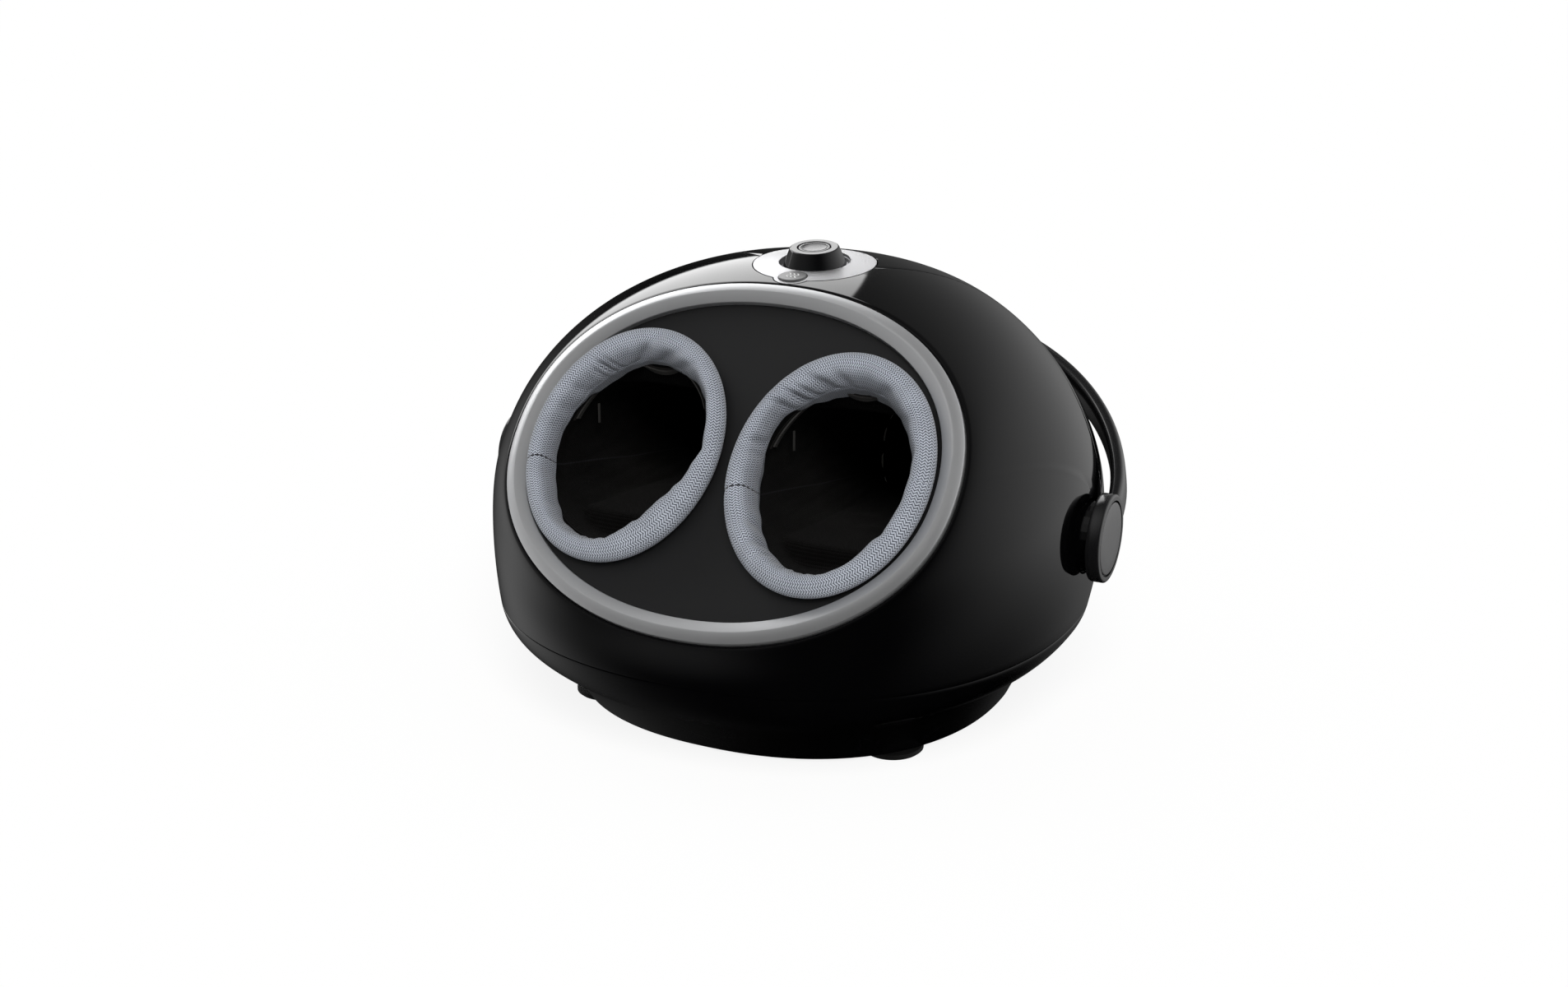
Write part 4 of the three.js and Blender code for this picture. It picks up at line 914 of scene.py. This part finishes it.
def creases(name, angle, out):
    """How deep the cloth is drawn in; out runs from 0 at the inner edge to 1 on the crest."""
    degrees = math.degrees(angle)
    depth = 0
    for place, width, deep, lean in CREASES[name]:
        away = (degrees - place - lean * out + 180) % 360 - 180
        away /= width
        depth += CREASE_GAIN * deep * (math.exp(-away ** 2) - 0.3 * math.exp(-(away / 2.4) ** 2))
    pucker = math.exp(-(((degrees - 266 + 180) % 360 - 180) / 24) ** 2)
    return depth + PUCKER_GAIN * pucker * (1 - out) * math.cos(math.radians(degrees) * 46)


def collar_place(name, side, u, v, shrink):
    angle = 2 * math.pi * u
    c, s = math.cos(angle), math.sin(angle)
    edge, skirt = inner_edge(name, angle)
    rows = v * ALL_ROWS
    hang = height = 0
    if rows <= SKIRT_ROWS:
        across, hang = SKIRT_LINE, -skirt * (1 - rows / SKIRT_ROWS)
    elif rows >= CUSHION_ROWS:
        across, hang = UNDER_LINE, -skirt * ease(CUSHION_ROWS, ALL_ROWS, rows)
    else:
        across, height = on_section((rows - SKIRT_ROWS) / (CUSHION_ROWS - SKIRT_ROWS))
    inside = 1 - ease(SKIRT_LINE, 11, across)
    wander = 0.35 * math.sin(5 * angle + side) + 0.25 * math.sin(8 * angle - side)
    wander += 0.2 * math.sin(23 * angle)
    across += inside * (edge - SKIRT_LINE + wander)
    high = OPENING_HIGH + across * (1.0 if across < 0 else 1.17)
    spot = Vector(((OPENING_WIDE + across) * c, high * s, COLLAR_BOTTOM + height + hang))
    if rows < CUSHION_ROWS and height + skirt > 1:
        out = min(1.4, max(0, rows - SKIRT_ROWS) / 5)
        drawn = creases(name, angle, out) * (1 - ease(0.75, 1.4, out)) * ease(4, 8, rows)
        middle = Vector((57 * c, 70.5 * s, COLLAR_BOTTOM + 6))
        towards = middle - spot
        spot += towards.normalized() * min(drawn, towards.length * 0.6)
    if SKIRT_ROWS < rows < CUSHION_ROWS and height > 0:
        middle = Vector((57 * c, 70.5 * s, COLLAR_BOTTOM + 7.5))
        seam = math.exp(-((u - THREAD_AT) * THREAD_AROUND / 1.5) ** 2)
        spot = middle.lerp(spot, 1 - shrink - 0.05 * seam)
        spot.z = max(spot.z, COLLAR_BOTTOM)
    return PANEL @ (spot + Vector((OPENING_X * side, OPENING_Y, 0)))


# %% Filling the tube with a little pressure
def swell(piece, cap):
    held = piece.vertex_groups.new(name="stitched")
    start = [point.co.copy() for point in piece.data.vertices]
    back = PANEL.inverted()
    for i, spot in enumerate(start):
        flat = back @ (spot * MM)
        low = 1 - ease(0.4, 3.0, flat.z - COLLAR_BOTTOM)
        held.add([i], low, "REPLACE")
    cloth = piece.modifiers.new("swell", "CLOTH")
    cloth.settings.quality = 5
    cloth.settings.mass = 0.25
    cloth.settings.tension_stiffness = 25
    cloth.settings.compression_stiffness = 12
    cloth.settings.shear_stiffness = 8
    cloth.settings.bending_stiffness = 0.4
    cloth.settings.use_pressure = True
    cloth.settings.uniform_pressure_force = 4
    cloth.settings.vertex_group_mass = "stitched"
    cloth.settings.effector_weights.gravity = 0
    cloth.collision_settings.use_collision = False
    scene = bpy.context.scene
    for number in range(1, 21):
        scene.frame_set(number)
    seen = piece.evaluated_get(bpy.context.evaluated_depsgraph_get())
    moved = [point.co.copy() for point in seen.data.vertices]
    piece.modifiers.clear()
    piece.vertex_groups.clear()
    furthest = 0
    for point, before, after in zip(piece.data.vertices, start, moved):
        step = after - before
        length = step.length
        furthest = max(furthest, length)
        if length > cap / MM:
            step *= cap / MM / length
        point.co = before + step
    scene.frame_set(1)
    print(piece.name, "swelled by up to", round(furthest * MM, 2), "mm")


# %% Both collars
def make_collar(name, side, columns=360, rows=44):
    shrink = 0.07
    mesh = sheet_of(columns, rows, lambda u, v: collar_place(name, side, u, v, shrink))
    bmesh.ops.recalc_face_normals(mesh, faces=mesh.faces)
    piece = bare_object(mesh, f"{name}_padded_collar")
    swell(piece, 2.2)
    finer = piece.modifiers.new("finer", "SUBSURF")
    finer.levels = finer.render_levels = 1
    settle(piece)
    hand_over(piece, "housing", collar_mesh, "collar_mesh", f"{name}_collar", sharp=80)


for label, side in SIDES.items():
    make_collar(label, side)

# %% [markdown]
# ## Foot linings
# Behind each collar a black lining closes the foot well, so that no finger or toe reaches the moving
# parts. From its lip under the collar it hangs as a loose curtain, and a ribbed zip runs on that curtain,
# so the lining can be opened for washing. Further in it follows the well's own sections a little inside
# them, with its roof slack, and lies over the massage heads as a soft floor.

# %% A section of the well, from mouth to toe
MOUTH_LOW = PANEL @ Vector((0, OPENING_Y - OPENING_HIGH, -7))
MOUTH_HIGH = PANEL @ Vector((0, OPENING_Y + OPENING_HIGH, -7))
TOE_Y, TOE_TALL = 96, 84
SOLE_SLOPE, TOE_LEAN = math.radians(10), math.radians(12)
TOE_LOW = Vector((0, TOE_Y, MOUTH_LOW.z - (TOE_Y - MOUTH_LOW.y) * math.tan(SOLE_SLOPE)))
TOE_HIGH = TOE_LOW + Vector((0, TOE_TALL * math.sin(TOE_LEAN), TOE_TALL * math.cos(TOE_LEAN)))
LINING_INSET, MOUTH_SHARE = 1.9, 0.03
BEND = Vector((0, mix(MOUTH_HIGH.y, TOE_HIGH.y, 0.5), mix(MOUTH_HIGH.z, TOE_HIGH.z, 0.15)))


def well_point(side, share, angle, inset):
    """A point on the wall of a well; past a share of 1 the toe end rounds off."""
    past = max(0, share - 1)
    share = min(1, share)
    low = MOUTH_LOW.lerp(TOE_LOW, share)
    high = MOUTH_HIGH.lerp(BEND, share).lerp(BEND.lerp(TOE_HIGH, share), share)
    up = (high - low).normalized()
    half = (high - low).length / 2 - inset
    wide = mix(OPENING_WIDE, 53, share) - inset
    power = 2 / mix(2, 2.8, min(1, share * 2))
    turn = past * math.pi / 2
    shrink = math.cos(turn) ** 0.5 if past < 1 else 0
    spot = low.lerp(high, 0.5)
    spot += up * half * signed_power(math.sin(angle), power) * shrink
    spot += Vector((0, up.z, -up.y)) * (16 - inset) * math.sin(turn)
    spot.x = side * OPENING_X + wide * signed_power(math.cos(angle), power) * shrink
    return spot


# %% The lining hangs loose under the inner top edge
def hung(spot):
    """Lowers a point of the lining's roof, which slants down from the mouth before it runs on."""
    roof = max(174, 224 - 18 * ease(-52, -46, spot.y) - 0.35 * max(0, spot.y + 46))
    if spot.z > roof:
        spot = Vector((spot.x, spot.y, roof + 0.12 * (spot.z - roof)))
    return spot


LINING_LIP = [(4, -3.5), (1.5, -3.5), (0.4, -3.6), (-0.4, -4.0), (-1.1, -5.0)]


def lip_place(side, angle, across, height):
    x, y = (OPENING_WIDE + across) * math.cos(angle), (OPENING_HIGH + across) * math.sin(angle)
    return Vector((OPENING_X * side + x, OPENING_Y + y, height))


def curtain(side, angle, share):
    """The band that joins the lining's lip to the place where it starts to run back."""
    lip = PANEL @ lip_place(side, angle, *LINING_LIP[-1])
    return lip.lerp(hung(well_point(side, MOUTH_SHARE, angle, LINING_INSET)), share)


def face_well(mesh, side):
    face_away(mesh, SOLE @ Vector((side * OPENING_X, 10, 45)))
    bmesh.ops.reverse_faces(mesh, faces=mesh.faces)


# %% The lining itself
SOLE_BACK = SOLE.inverted()
LINING_ROWS = 64
HEADS_REACH = 21.5


def lining_place(side, u, v):
    angle = 2 * math.pi * u
    row = v * LINING_ROWS
    share = mix(MOUTH_SHARE, 1.19, (row - 8) / 55)
    if row < 7.5:
        spot = PANEL @ lip_place(side, angle, *LINING_LIP[min(4, round(row))])
        if row > 4:
            spot = curtain(side, angle, (row - 4) / 4)
    else:
        spot = well_point(side, share if row < LINING_ROWS - 0.5 else 2, angle, LINING_INSET)
    wrinkle = 0.5 * math.sin(31 * angle + 0.4 * row) + 0.6 * math.sin(11 * angle - 0.23 * row + side)
    depth = ease(8, 15, row) * (1 - ease(48, 62, row))
    along = min(1, max(0, share))
    centre = well_point(side, along, math.pi / 2, 0).lerp(well_point(side, along, -math.pi / 2, 0), 0.5)
    spot += (centre - spot).normalized() * (0.7 + 0.7 * wrinkle) * depth
    if row > 7.5:
        spot = hung(spot)
    flat = SOLE_BACK @ spot
    heads = 0
    for place in range(3):
        around_disc = (place + 0.25) / 3 * 2 * math.pi
        x = side * OPENING_X + HEADS_REACH * math.cos(around_disc)
        y = HEADS_REACH * math.sin(around_disc)
        heads += 1.1 * math.exp(-((flat.x - x) ** 2 + (flat.y - y) ** 2) / 90)
    flat.z = max(flat.z, 12.6 * ease(8, 13, row) + heads)
    return SOLE @ flat


def make_lining(name, side):
    mesh = sheet_of(168, LINING_ROWS, lambda u, v: lining_place(side, u, v))
    face_well(mesh, side)
    piece = bare_object(mesh, f"{name}_foot_lining")
    step = piece.modifiers.new("wall", "SOLIDIFY")
    step.thickness = 0.0004
    step.offset = -1
    settle(piece)
    hand_over(piece, "housing", lining_cloth, "black_lining", f"{name}_liner", sharp=60)


for label, side in SIDES.items():
    make_lining(label, side)

# %% The zip under the inner top edge: its tape, teeth and pull
zip_tape_finish = plain_finish("zip_tape", (0.012, 0.011, 0.01), (0.02, 0.018, 0.017), 0.75, 0.1, 1500, 0.06)
zip_nylon = plain_finish("zip_nylon", (0.03, 0.029, 0.028), (0.045, 0.044, 0.042), 0.45, 0.1, 1500, 0.02)


def make_zip(name, side):
    def tape_place(u, v):
        angle = math.radians(mix(168, 32, u))
        down = PANEL_OUT.cross(Vector((1, 0, 0)))
        return curtain(side, angle, mix(0.6, 1.02, v)) - down * 0.8 + PANEL_OUT * 0.5

    mesh = sheet_of(120, 4, tape_place)
    face_well(mesh, side)
    tape = bare_object(mesh, f"{name}_zip_tape")
    wall_and_edge(tape, 0.8, 0)
    hand_over(tape, "housing", zip_tape_finish, "black_lining")
    teeth = bmesh.new()
    for i in range(96):
        angle = math.radians(mix(166, 34, i / 95))
        spot = curtain(side, angle, 0.8)
        ahead = curtain(side, angle - 0.01, 0.8) - spot
        deep = curtain(side, angle, 0.95) - spot
        spot += (well_point(side, MOUTH_SHARE, math.pi / 2, 60) - spot).normalized() * 1.6
        out = ahead.cross(deep).normalized()
        turn = Matrix((ahead.normalized(), deep.normalized(), out)).transposed().to_4x4()
        size = Matrix.Diagonal((1.1, 3.2, 1.1, 1))
        bmesh.ops.create_cube(teeth, size=1, matrix=Matrix.Translation(spot) @ turn @ size)
    teeth_piece = bare_object(teeth, f"{name}_zip_teeth")
    hand_over(teeth_piece, "housing", zip_nylon, "black_lining")
    pull = bmesh.new()
    bmesh.ops.create_cube(pull, size=1, matrix=Matrix.Diagonal((1.8, 13, 0.8, 1)))
    bmesh.ops.bevel(
        pull, geom=pull.edges[:], offset=0.35, offset_type="OFFSET", segments=3, profile=0.5,
        affect="EDGES", clamp_overlap=True, material=-1,
    )
    spot = well_point(side, 0.1, math.radians(158), 5.4)
    hang = Matrix.Translation(spot + Vector((0, 0, -6))) @ Matrix.Rotation(math.radians(90), 4, "X")
    hang = hang @ Matrix.Rotation(math.radians(70), 4, "Y")
    bmesh.ops.transform(pull, matrix=hang, verts=pull.verts)
    pull_piece = bare_object(pull, f"{name}_zip_pull")
    hand_over(pull_piece, "housing", zip_nylon, "black_lining")


for label, side in SIDES.items():
    make_zip(label, side)

# %% [markdown]
# ## Dial plate
# The bright plate round the dial follows the crown, with a round cup for the dial and a lobe for the
# heat button. It is one sheet from the floor of the cup, up its wall and out over the crown to the
# outline. Every point of the outer part is laid on the dome. Its finish is spun metal: fine rings round
# the dial, which draw the light out into rays.

# %% Plate: cup, crown and lobe in one sheet
CUP = [(3.4, -5.4), (9, -5.4), (16, -5.4), (21.8, -5.4), (22.6, -5.1), (23, -4.4), (23, -2), (23.05, -0.4)]

CROWN_ROWS = 20


def plate_place(u, v):
    angle = 2 * math.pi * u
    row = v * (len(CUP) + CROWN_ROWS)
    if row < len(CUP) - 0.01:
        radius, height = CUP[round(row)]
        return DIAL @ Vector((radius * math.cos(angle), radius * math.sin(angle), height))
    share = (row - len(CUP)) / CROWN_ROWS
    radius = mix(23.5, plate_reach(angle), share)
    hit, out = on_dome(radius * math.cos(angle), radius * math.sin(angle))
    return hit + out * 0.15


plate_mesh = sheet_of(ROUND_STEPS, len(CUP) + CROWN_ROWS, plate_place)
face_away(plate_mesh, DIAL @ Vector((0, 0, -40)), (0.01, 0.01, 1))
dial_plate = bare_object(plate_mesh, "dial_plate")
wall_and_edge(dial_plate, 1.5, 0.3)
HEAT = DIAL @ Matrix.Translation((0, -LOBE_AWAY, 0))
combine(dial_plate, turned([(0, -14), (9.6, -14), (9.6, 8), (0, 8)], 72, HEAT))

# %% Spun metal: rings round the dial
def spun_finish():
    finish = plain_finish(
        "spun_silver", (0.45, 0.45, 0.46), (0.52, 0.52, 0.53), 0.42, 0.06, 2400, 0.005, metal=0.95,
    )
    tree = finish.node_tree
    where = add_node(tree, "TexCoord").outputs["Object"]
    axis = (0, 0.031, 0.279)
    flat = add_node(tree, "VectorMath", {0: where, 1: axis}, operation="SUBTRACT").outputs[0]
    flat = add_node(tree, "VectorMath", {0: flat, 1: (1, 1, 0)}, operation="MULTIPLY").outputs[0]
    radius = add_node(tree, "VectorMath", {0: flat}, operation="LENGTH").outputs["Value"]
    rings = add_math(tree, "SINE", add_math(tree, "MULTIPLY", radius, 9000))
    grain = tree.nodes["Bump"].outputs["Normal"]
    bump = add_node(tree, "Bump", {"Distance": 0.00003, "Height": rings, "Normal": grain})
    feed(tree, tree.nodes["Principled BSDF"], {"Normal": bump.outputs["Normal"]})
    return finish


spun_silver = spun_finish()
hand_over(dial_plate, "housing", spun_silver, "satin_metal", "control_plate")

# %% [markdown]
# ## Dial and buttons
# The dial is a gloss black cone with a button in its top. Both are turned. The heat button beside the
# dial carries three small waves, the common sign for heat, printed in white.

# %% Dial
dial_outline = [
    (0, -12.3), (3, -12.3), (3, -3.4), (20.1, -3.4), (20.5, -3.0), (20.5, -2.6), (20.1, -2.0),
    (16.3, 8.0), (15.9, 8.6), (15.2, 9.0), (11.4, 9.0), (11.0, 8.8), (10.8, 8.3), (10.8, 4.6), (0, 4.6),
]
turned_piece("dial_cone", dial_outline, 128, DIAL, "dial", dark_chrome, "dark_chrome", "control_knob")

# %% Button in the dial, dished, with a ring round its rim
press_outline = [
    (0, 5.9), (10.3, 5.9), (10.3, 8.3), (10.1, 8.7), (9.6, 8.8), (8.9, 8.75), (8.6, 8.3), (8.2, 8.25),
    (7.9, 8.6), (6.5, 8.3), (4, 8.05), (0, 7.95),
]
press_grey = plain_finish(
    "press_grey", (0.04, 0.04, 0.042), (0.055, 0.055, 0.058), 0.24, 0.06, 1500, 0.01,
    Specular_IOR_Level=0.3,
)
turned_piece(
    "dial_press_button", press_outline, 96, DIAL, "dial_button", press_grey, "dark_chrome", "knob_button",
)

# %% Heat button and its three waves
heat_outline = [
    (0, -7), (3.5, -7), (3.5, -5.8), (10, -5.8), (10, -4.6), (9.2, -4.6), (9.2, 0.2), (9.0, 0.7), (8.5, 0.92),
    (6, 0.86), (0, 0.8),
]
turned_piece(
    "heat_touch_button", heat_outline, 96, HEAT, "heat_button", cover_grey, "grey_cover", "heat_button",
)
print_white = plain_finish("print_white", (0.8, 0.8, 0.8), (0.86, 0.86, 0.86), 0.5, 0.05, 1500, 0.01)
for number, across in enumerate((-2.7, 0, 2.7), 1):
    def wave_place(u, v, across=across):
        along = mix(-3.9, 3.9, v)
        x = across + 0.75 * math.sin(along * 1.15) + mix(-0.5, 0.5, u)
        return HEAT @ Vector((x, along, 0.9))

    wave = sheet_of(2, 24, wave_place)
    face_away(wave, HEAT @ Vector((0, 0, -20)))
    draw_out(wave, DIAL.to_3x3() @ Vector((0, 0, 0.06)))
    hand_over(bare_object(wave, f"heat_wave_{number}"), "heat_button", print_white, "grey_cover")

# %% [markdown]
# ## Bail handle and its pivots
# The handle is one bow with a round eye at each end. The bow is a grid carried along half an ellipse with
# a flat rounded section, and the eyes are turned discs joined to it. A cap closes each eye. The fixed
# boss behind it, in the notch of the shell, is one of the solids that stay.

# %% Bow
def bow_place(u, v):
    angle = mix(math.radians(-4), math.radians(184), u)
    c, s = math.cos(angle), math.sin(angle)
    tuck = 1 - ease(0, 0.25, abs(s))
    thick = 10 - 2 * tuck
    reach = BOW_WIDE + (10 - thick) / 2 - 2.7 * tuck
    out = Vector((c / BOW_WIDE, s / BOW_DEEP, 0)).normalized()
    turn = 2 * math.pi * v
    across = thick / 2 * signed_power(math.cos(turn), 2 / 3.2)
    depth = 12 * signed_power(math.sin(turn), 2 / 3.2)
    return BAIL @ (Vector((reach * c, BOW_DEEP * s, 0)) + out * across + Vector((0, 0, depth)))


bow_mesh = sheet_of(144, 40, bow_place)
bmesh.ops.holes_fill(bow_mesh, edges=[edge for edge in bow_mesh.edges if edge.is_boundary])
bmesh.ops.recalc_face_normals(bow_mesh, faces=bow_mesh.faces)
handle = bare_object(bow_mesh, "bail_handle")

# %% Eyes, joined to the bow
def across_x(side):
    return BAIL @ Matrix.Rotation(side * math.pi / 2, 4, "Y")


EYE = [
    (0, 204.8), (26.7, 204.8), (27.5, 205.1), (27.8, 205.9), (27.8, 212.3), (27.65, 212.8), (27.2, 213.3),
    (26.6, 213.55), (26, 213.6), (0, 213.6),
]
CAP_RECESS = [(0, 211), (24, 211), (24, 222), (0, 222)]
PIN_HOLE = [(0, 200), (6.3, 200), (6.3, 208.1), (11.3, 208.1), (11.3, 212), (0, 212)]
for side in SIDES.values():
    combine(handle, turned(EYE, 128, across_x(side)), "UNION")
    combine(handle, turned(CAP_RECESS, 128, across_x(side)))
    combine(handle, turned(PIN_HOLE, 64, across_x(side)))
hand_over(handle, "handle", handle_black, "satin_black", "carry_handle", sharp=30)

# %% Caps of the eyes
CAP = [
    (0, 211.3), (22.8, 211.3), (22.8, 212.9), (22.7, 213.3), (22.3, 213.6), (21.6, 213.75), (14, 214.2),
    (0, 214.5),
]
for label, side in SIDES.items():
    turned_piece(
        f"{label}_pivot_cap", CAP, 128, across_x(side),
        "handle", cover_grey, "grey_cover", f"{label}_hinge_cap",
    )

# %% [markdown]
# ## Inside parts
# The solids of the drive, the wells and the controls already have their real shape, so they stay as they
# are and only get their finish.

# %% Finishes for the solids that stay
INSIDE = {
    "foot_well": inner_plastic, "heating_pad": heater_film, "kneading_gear": acetal, "kneading_disc": acetal,
    "kneader_shaft": steel, "shaft_bush": brass, "massage_head": rubber, "hinge_pin": steel,
    "hinge_boss": gloss_black, "drive_tray": inner_plastic, "gear_motor": steel, "drive_pinion": steel,
    "power_socket": satin_black, "control_board": board_green, "rotary_encoder": steel,
    "heat_switch": satin_black,
}
dressed = 0
for node_name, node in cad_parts.items():
    for part, finish in INSIDE.items():
        if part in node_name:
            for place in node.material_slots:
                place.link = "OBJECT"
                place.material = finish
            dressed += 1
print("solids that stay and got a finish:", dressed)

# %% [markdown]
# ## Floor, light and camera
# The machine stands on a white floor in a white studio. The camera sees plain white behind it, and the
# floor keeps a soft shadow. Gloss black shows little but what it mirrors, so the studio has one bright
# sheet with hard edges behind to the left, a soft glow to the right, two fainter ones at the left and
# dark in front. A broad light above the camera brightens the cloth, and the gloss doesn't mirror it.

# %% Floor
floor_mesh = bmesh.new()
bmesh.ops.create_grid(floor_mesh, x_segments=2, y_segments=2, size=30000)
floor = bare_object(floor_mesh, "studio_floor")
floor_white = bpy.data.materials.new("floor_white")
floor_white.use_nodes = True
tree = floor_white.node_tree
tree.nodes.clear()
paper = add_node(tree, "BsdfDiffuse", {"Color": (0.9, 0.9, 0.9, 1)})
glow = add_node(tree, "Emission", {"Color": WHITE, "Strength": 1.095})
path = add_node(tree, "LightPath")
seen = add_math(tree, "MAXIMUM", path.outputs["Is Camera Ray"], path.outputs["Is Transmission Ray"])
share = add_math(tree, "SUBTRACT", 1, add_math(tree, "MULTIPLY", seen, 0.8))
both = add_node(tree, "MixShader", {0: share, 1: glow.outputs[0], 2: paper.outputs[0]})
add_node(tree, "OutputMaterial", {"Surface": both.outputs[0]})
floor.data.materials.append(floor_white)
floor.visible_glossy = False

# %% The studio that the gloss mirrors
def studio():
    world = bpy.data.worlds.new("studio")
    bpy.context.scene.world = world
    world.use_nodes = True
    tree = world.node_tree
    tree.nodes.clear()
    where = add_node(tree, "TexCoord").outputs["Generated"]

    def along(direction):
        feeds = {0: where, 1: Vector(direction).normalized()}
        return add_node(tree, "VectorMath", feeds, operation="DOT_PRODUCT").outputs["Value"]

    def fade(value, start, end):
        """Goes smoothly from 0 at start to 1 at end."""
        feeds = {"Value": value, "From Min": start, "From Max": end}
        return add_node(tree, "MapRange", feeds, interpolation_type="SMOOTHSTEP").outputs[0]

    def times(a, b):
        return add_math(tree, "MULTIPLY", a, b)

    def glow(direction, power, strength):
        """A soft light round a direction, falling off with the angle from it."""
        near = add_math(tree, "MAXIMUM", along(direction), 0)
        return times(add_math(tree, "POWER", near, power), strength)

    def background(colour, strength):
        return add_node(tree, "Background", {"Color": colour, "Strength": strength}).outputs[0]

    up = along((0, 0, 1))
    sheet = times(fade(along((-0.94, -0.34, 0)), -0.008, 0.0), fade(up, 0.17, 0.21))
    sheet = times(times(sheet, fade(up, 0.85, 0.7)), fade(along((0, 1, 0)), -0.02, 0.12))
    total = times(sheet, 3.3)
    lights = [
        times(glow((0.78, 0.61, 0.14), 2.4, 1.4), fade(up, -0.75, -0.1)),
        glow((-0.98, -0.09, -0.17), 6, 0.9),
        glow((-0.4, -0.43, 0.81), 5, 0.6),
    ]
    for light in lights:
        total = add_math(tree, "ADD", total, light)
    mirrored = background(WHITE, total)
    plain = background(WHITE, 1)
    ambient = background((0.96, 0.98, 1, 1), 0.22)
    path = add_node(tree, "LightPath")
    seen = add_math(tree, "ADD", path.outputs["Is Camera Ray"], path.outputs["Is Transmission Ray"])
    lit = add_node(tree, "MixShader", {0: path.outputs["Is Glossy Ray"], 1: ambient, 2: mirrored})
    choose = add_node(tree, "MixShader", {0: seen, 1: lit.outputs[0], 2: plain})
    add_node(tree, "OutputWorld", {"Surface": choose.outputs[0]})


studio()

# %% A broad soft key from above the camera
def place_key():
    data = bpy.data.lights.new("soft_key", "SUN")
    data.energy = 2.15
    data.angle = math.radians(30)
    data.color = (1, 0.99, 0.97)
    key = bpy.data.objects.new("soft_key", data)
    key.matrix_world = Vector((0.34, -0.62, 0.71)).to_track_quat("Z", "Y").to_matrix().to_4x4()
    bpy.context.scene.collection.objects.link(key)
    key.visible_glossy = False


place_key()

# %% Camera
CAMERA_PLACE = (0.5232, -1.1493, 0.5771)
CAMERA_ANGLES = (24.79, 19.54)


def place_camera():
    az, el = (math.radians(value) for value in CAMERA_ANGLES)
    right = Vector((math.cos(az), math.sin(az), 0))
    up = Vector((-math.sin(az) * math.sin(el), math.cos(az) * math.sin(el), math.cos(el)))
    back = Vector((math.sin(az) * math.cos(el), -math.cos(az) * math.cos(el), math.sin(el)))
    data = bpy.data.cameras.new("studio_camera")
    data.lens = 46.76
    data.sensor_width = 36
    data.sensor_fit = "HORIZONTAL"
    camera = bpy.data.objects.new("studio_camera", data)
    turn = Matrix((right, up, back)).transposed().to_4x4()
    camera.matrix_world = Matrix.Translation(CAMERA_PLACE) @ turn
    bpy.context.scene.collection.objects.link(camera)
    bpy.context.scene.camera = camera


place_camera()
bpy.context.scene.view_settings.view_transform = "Standard"
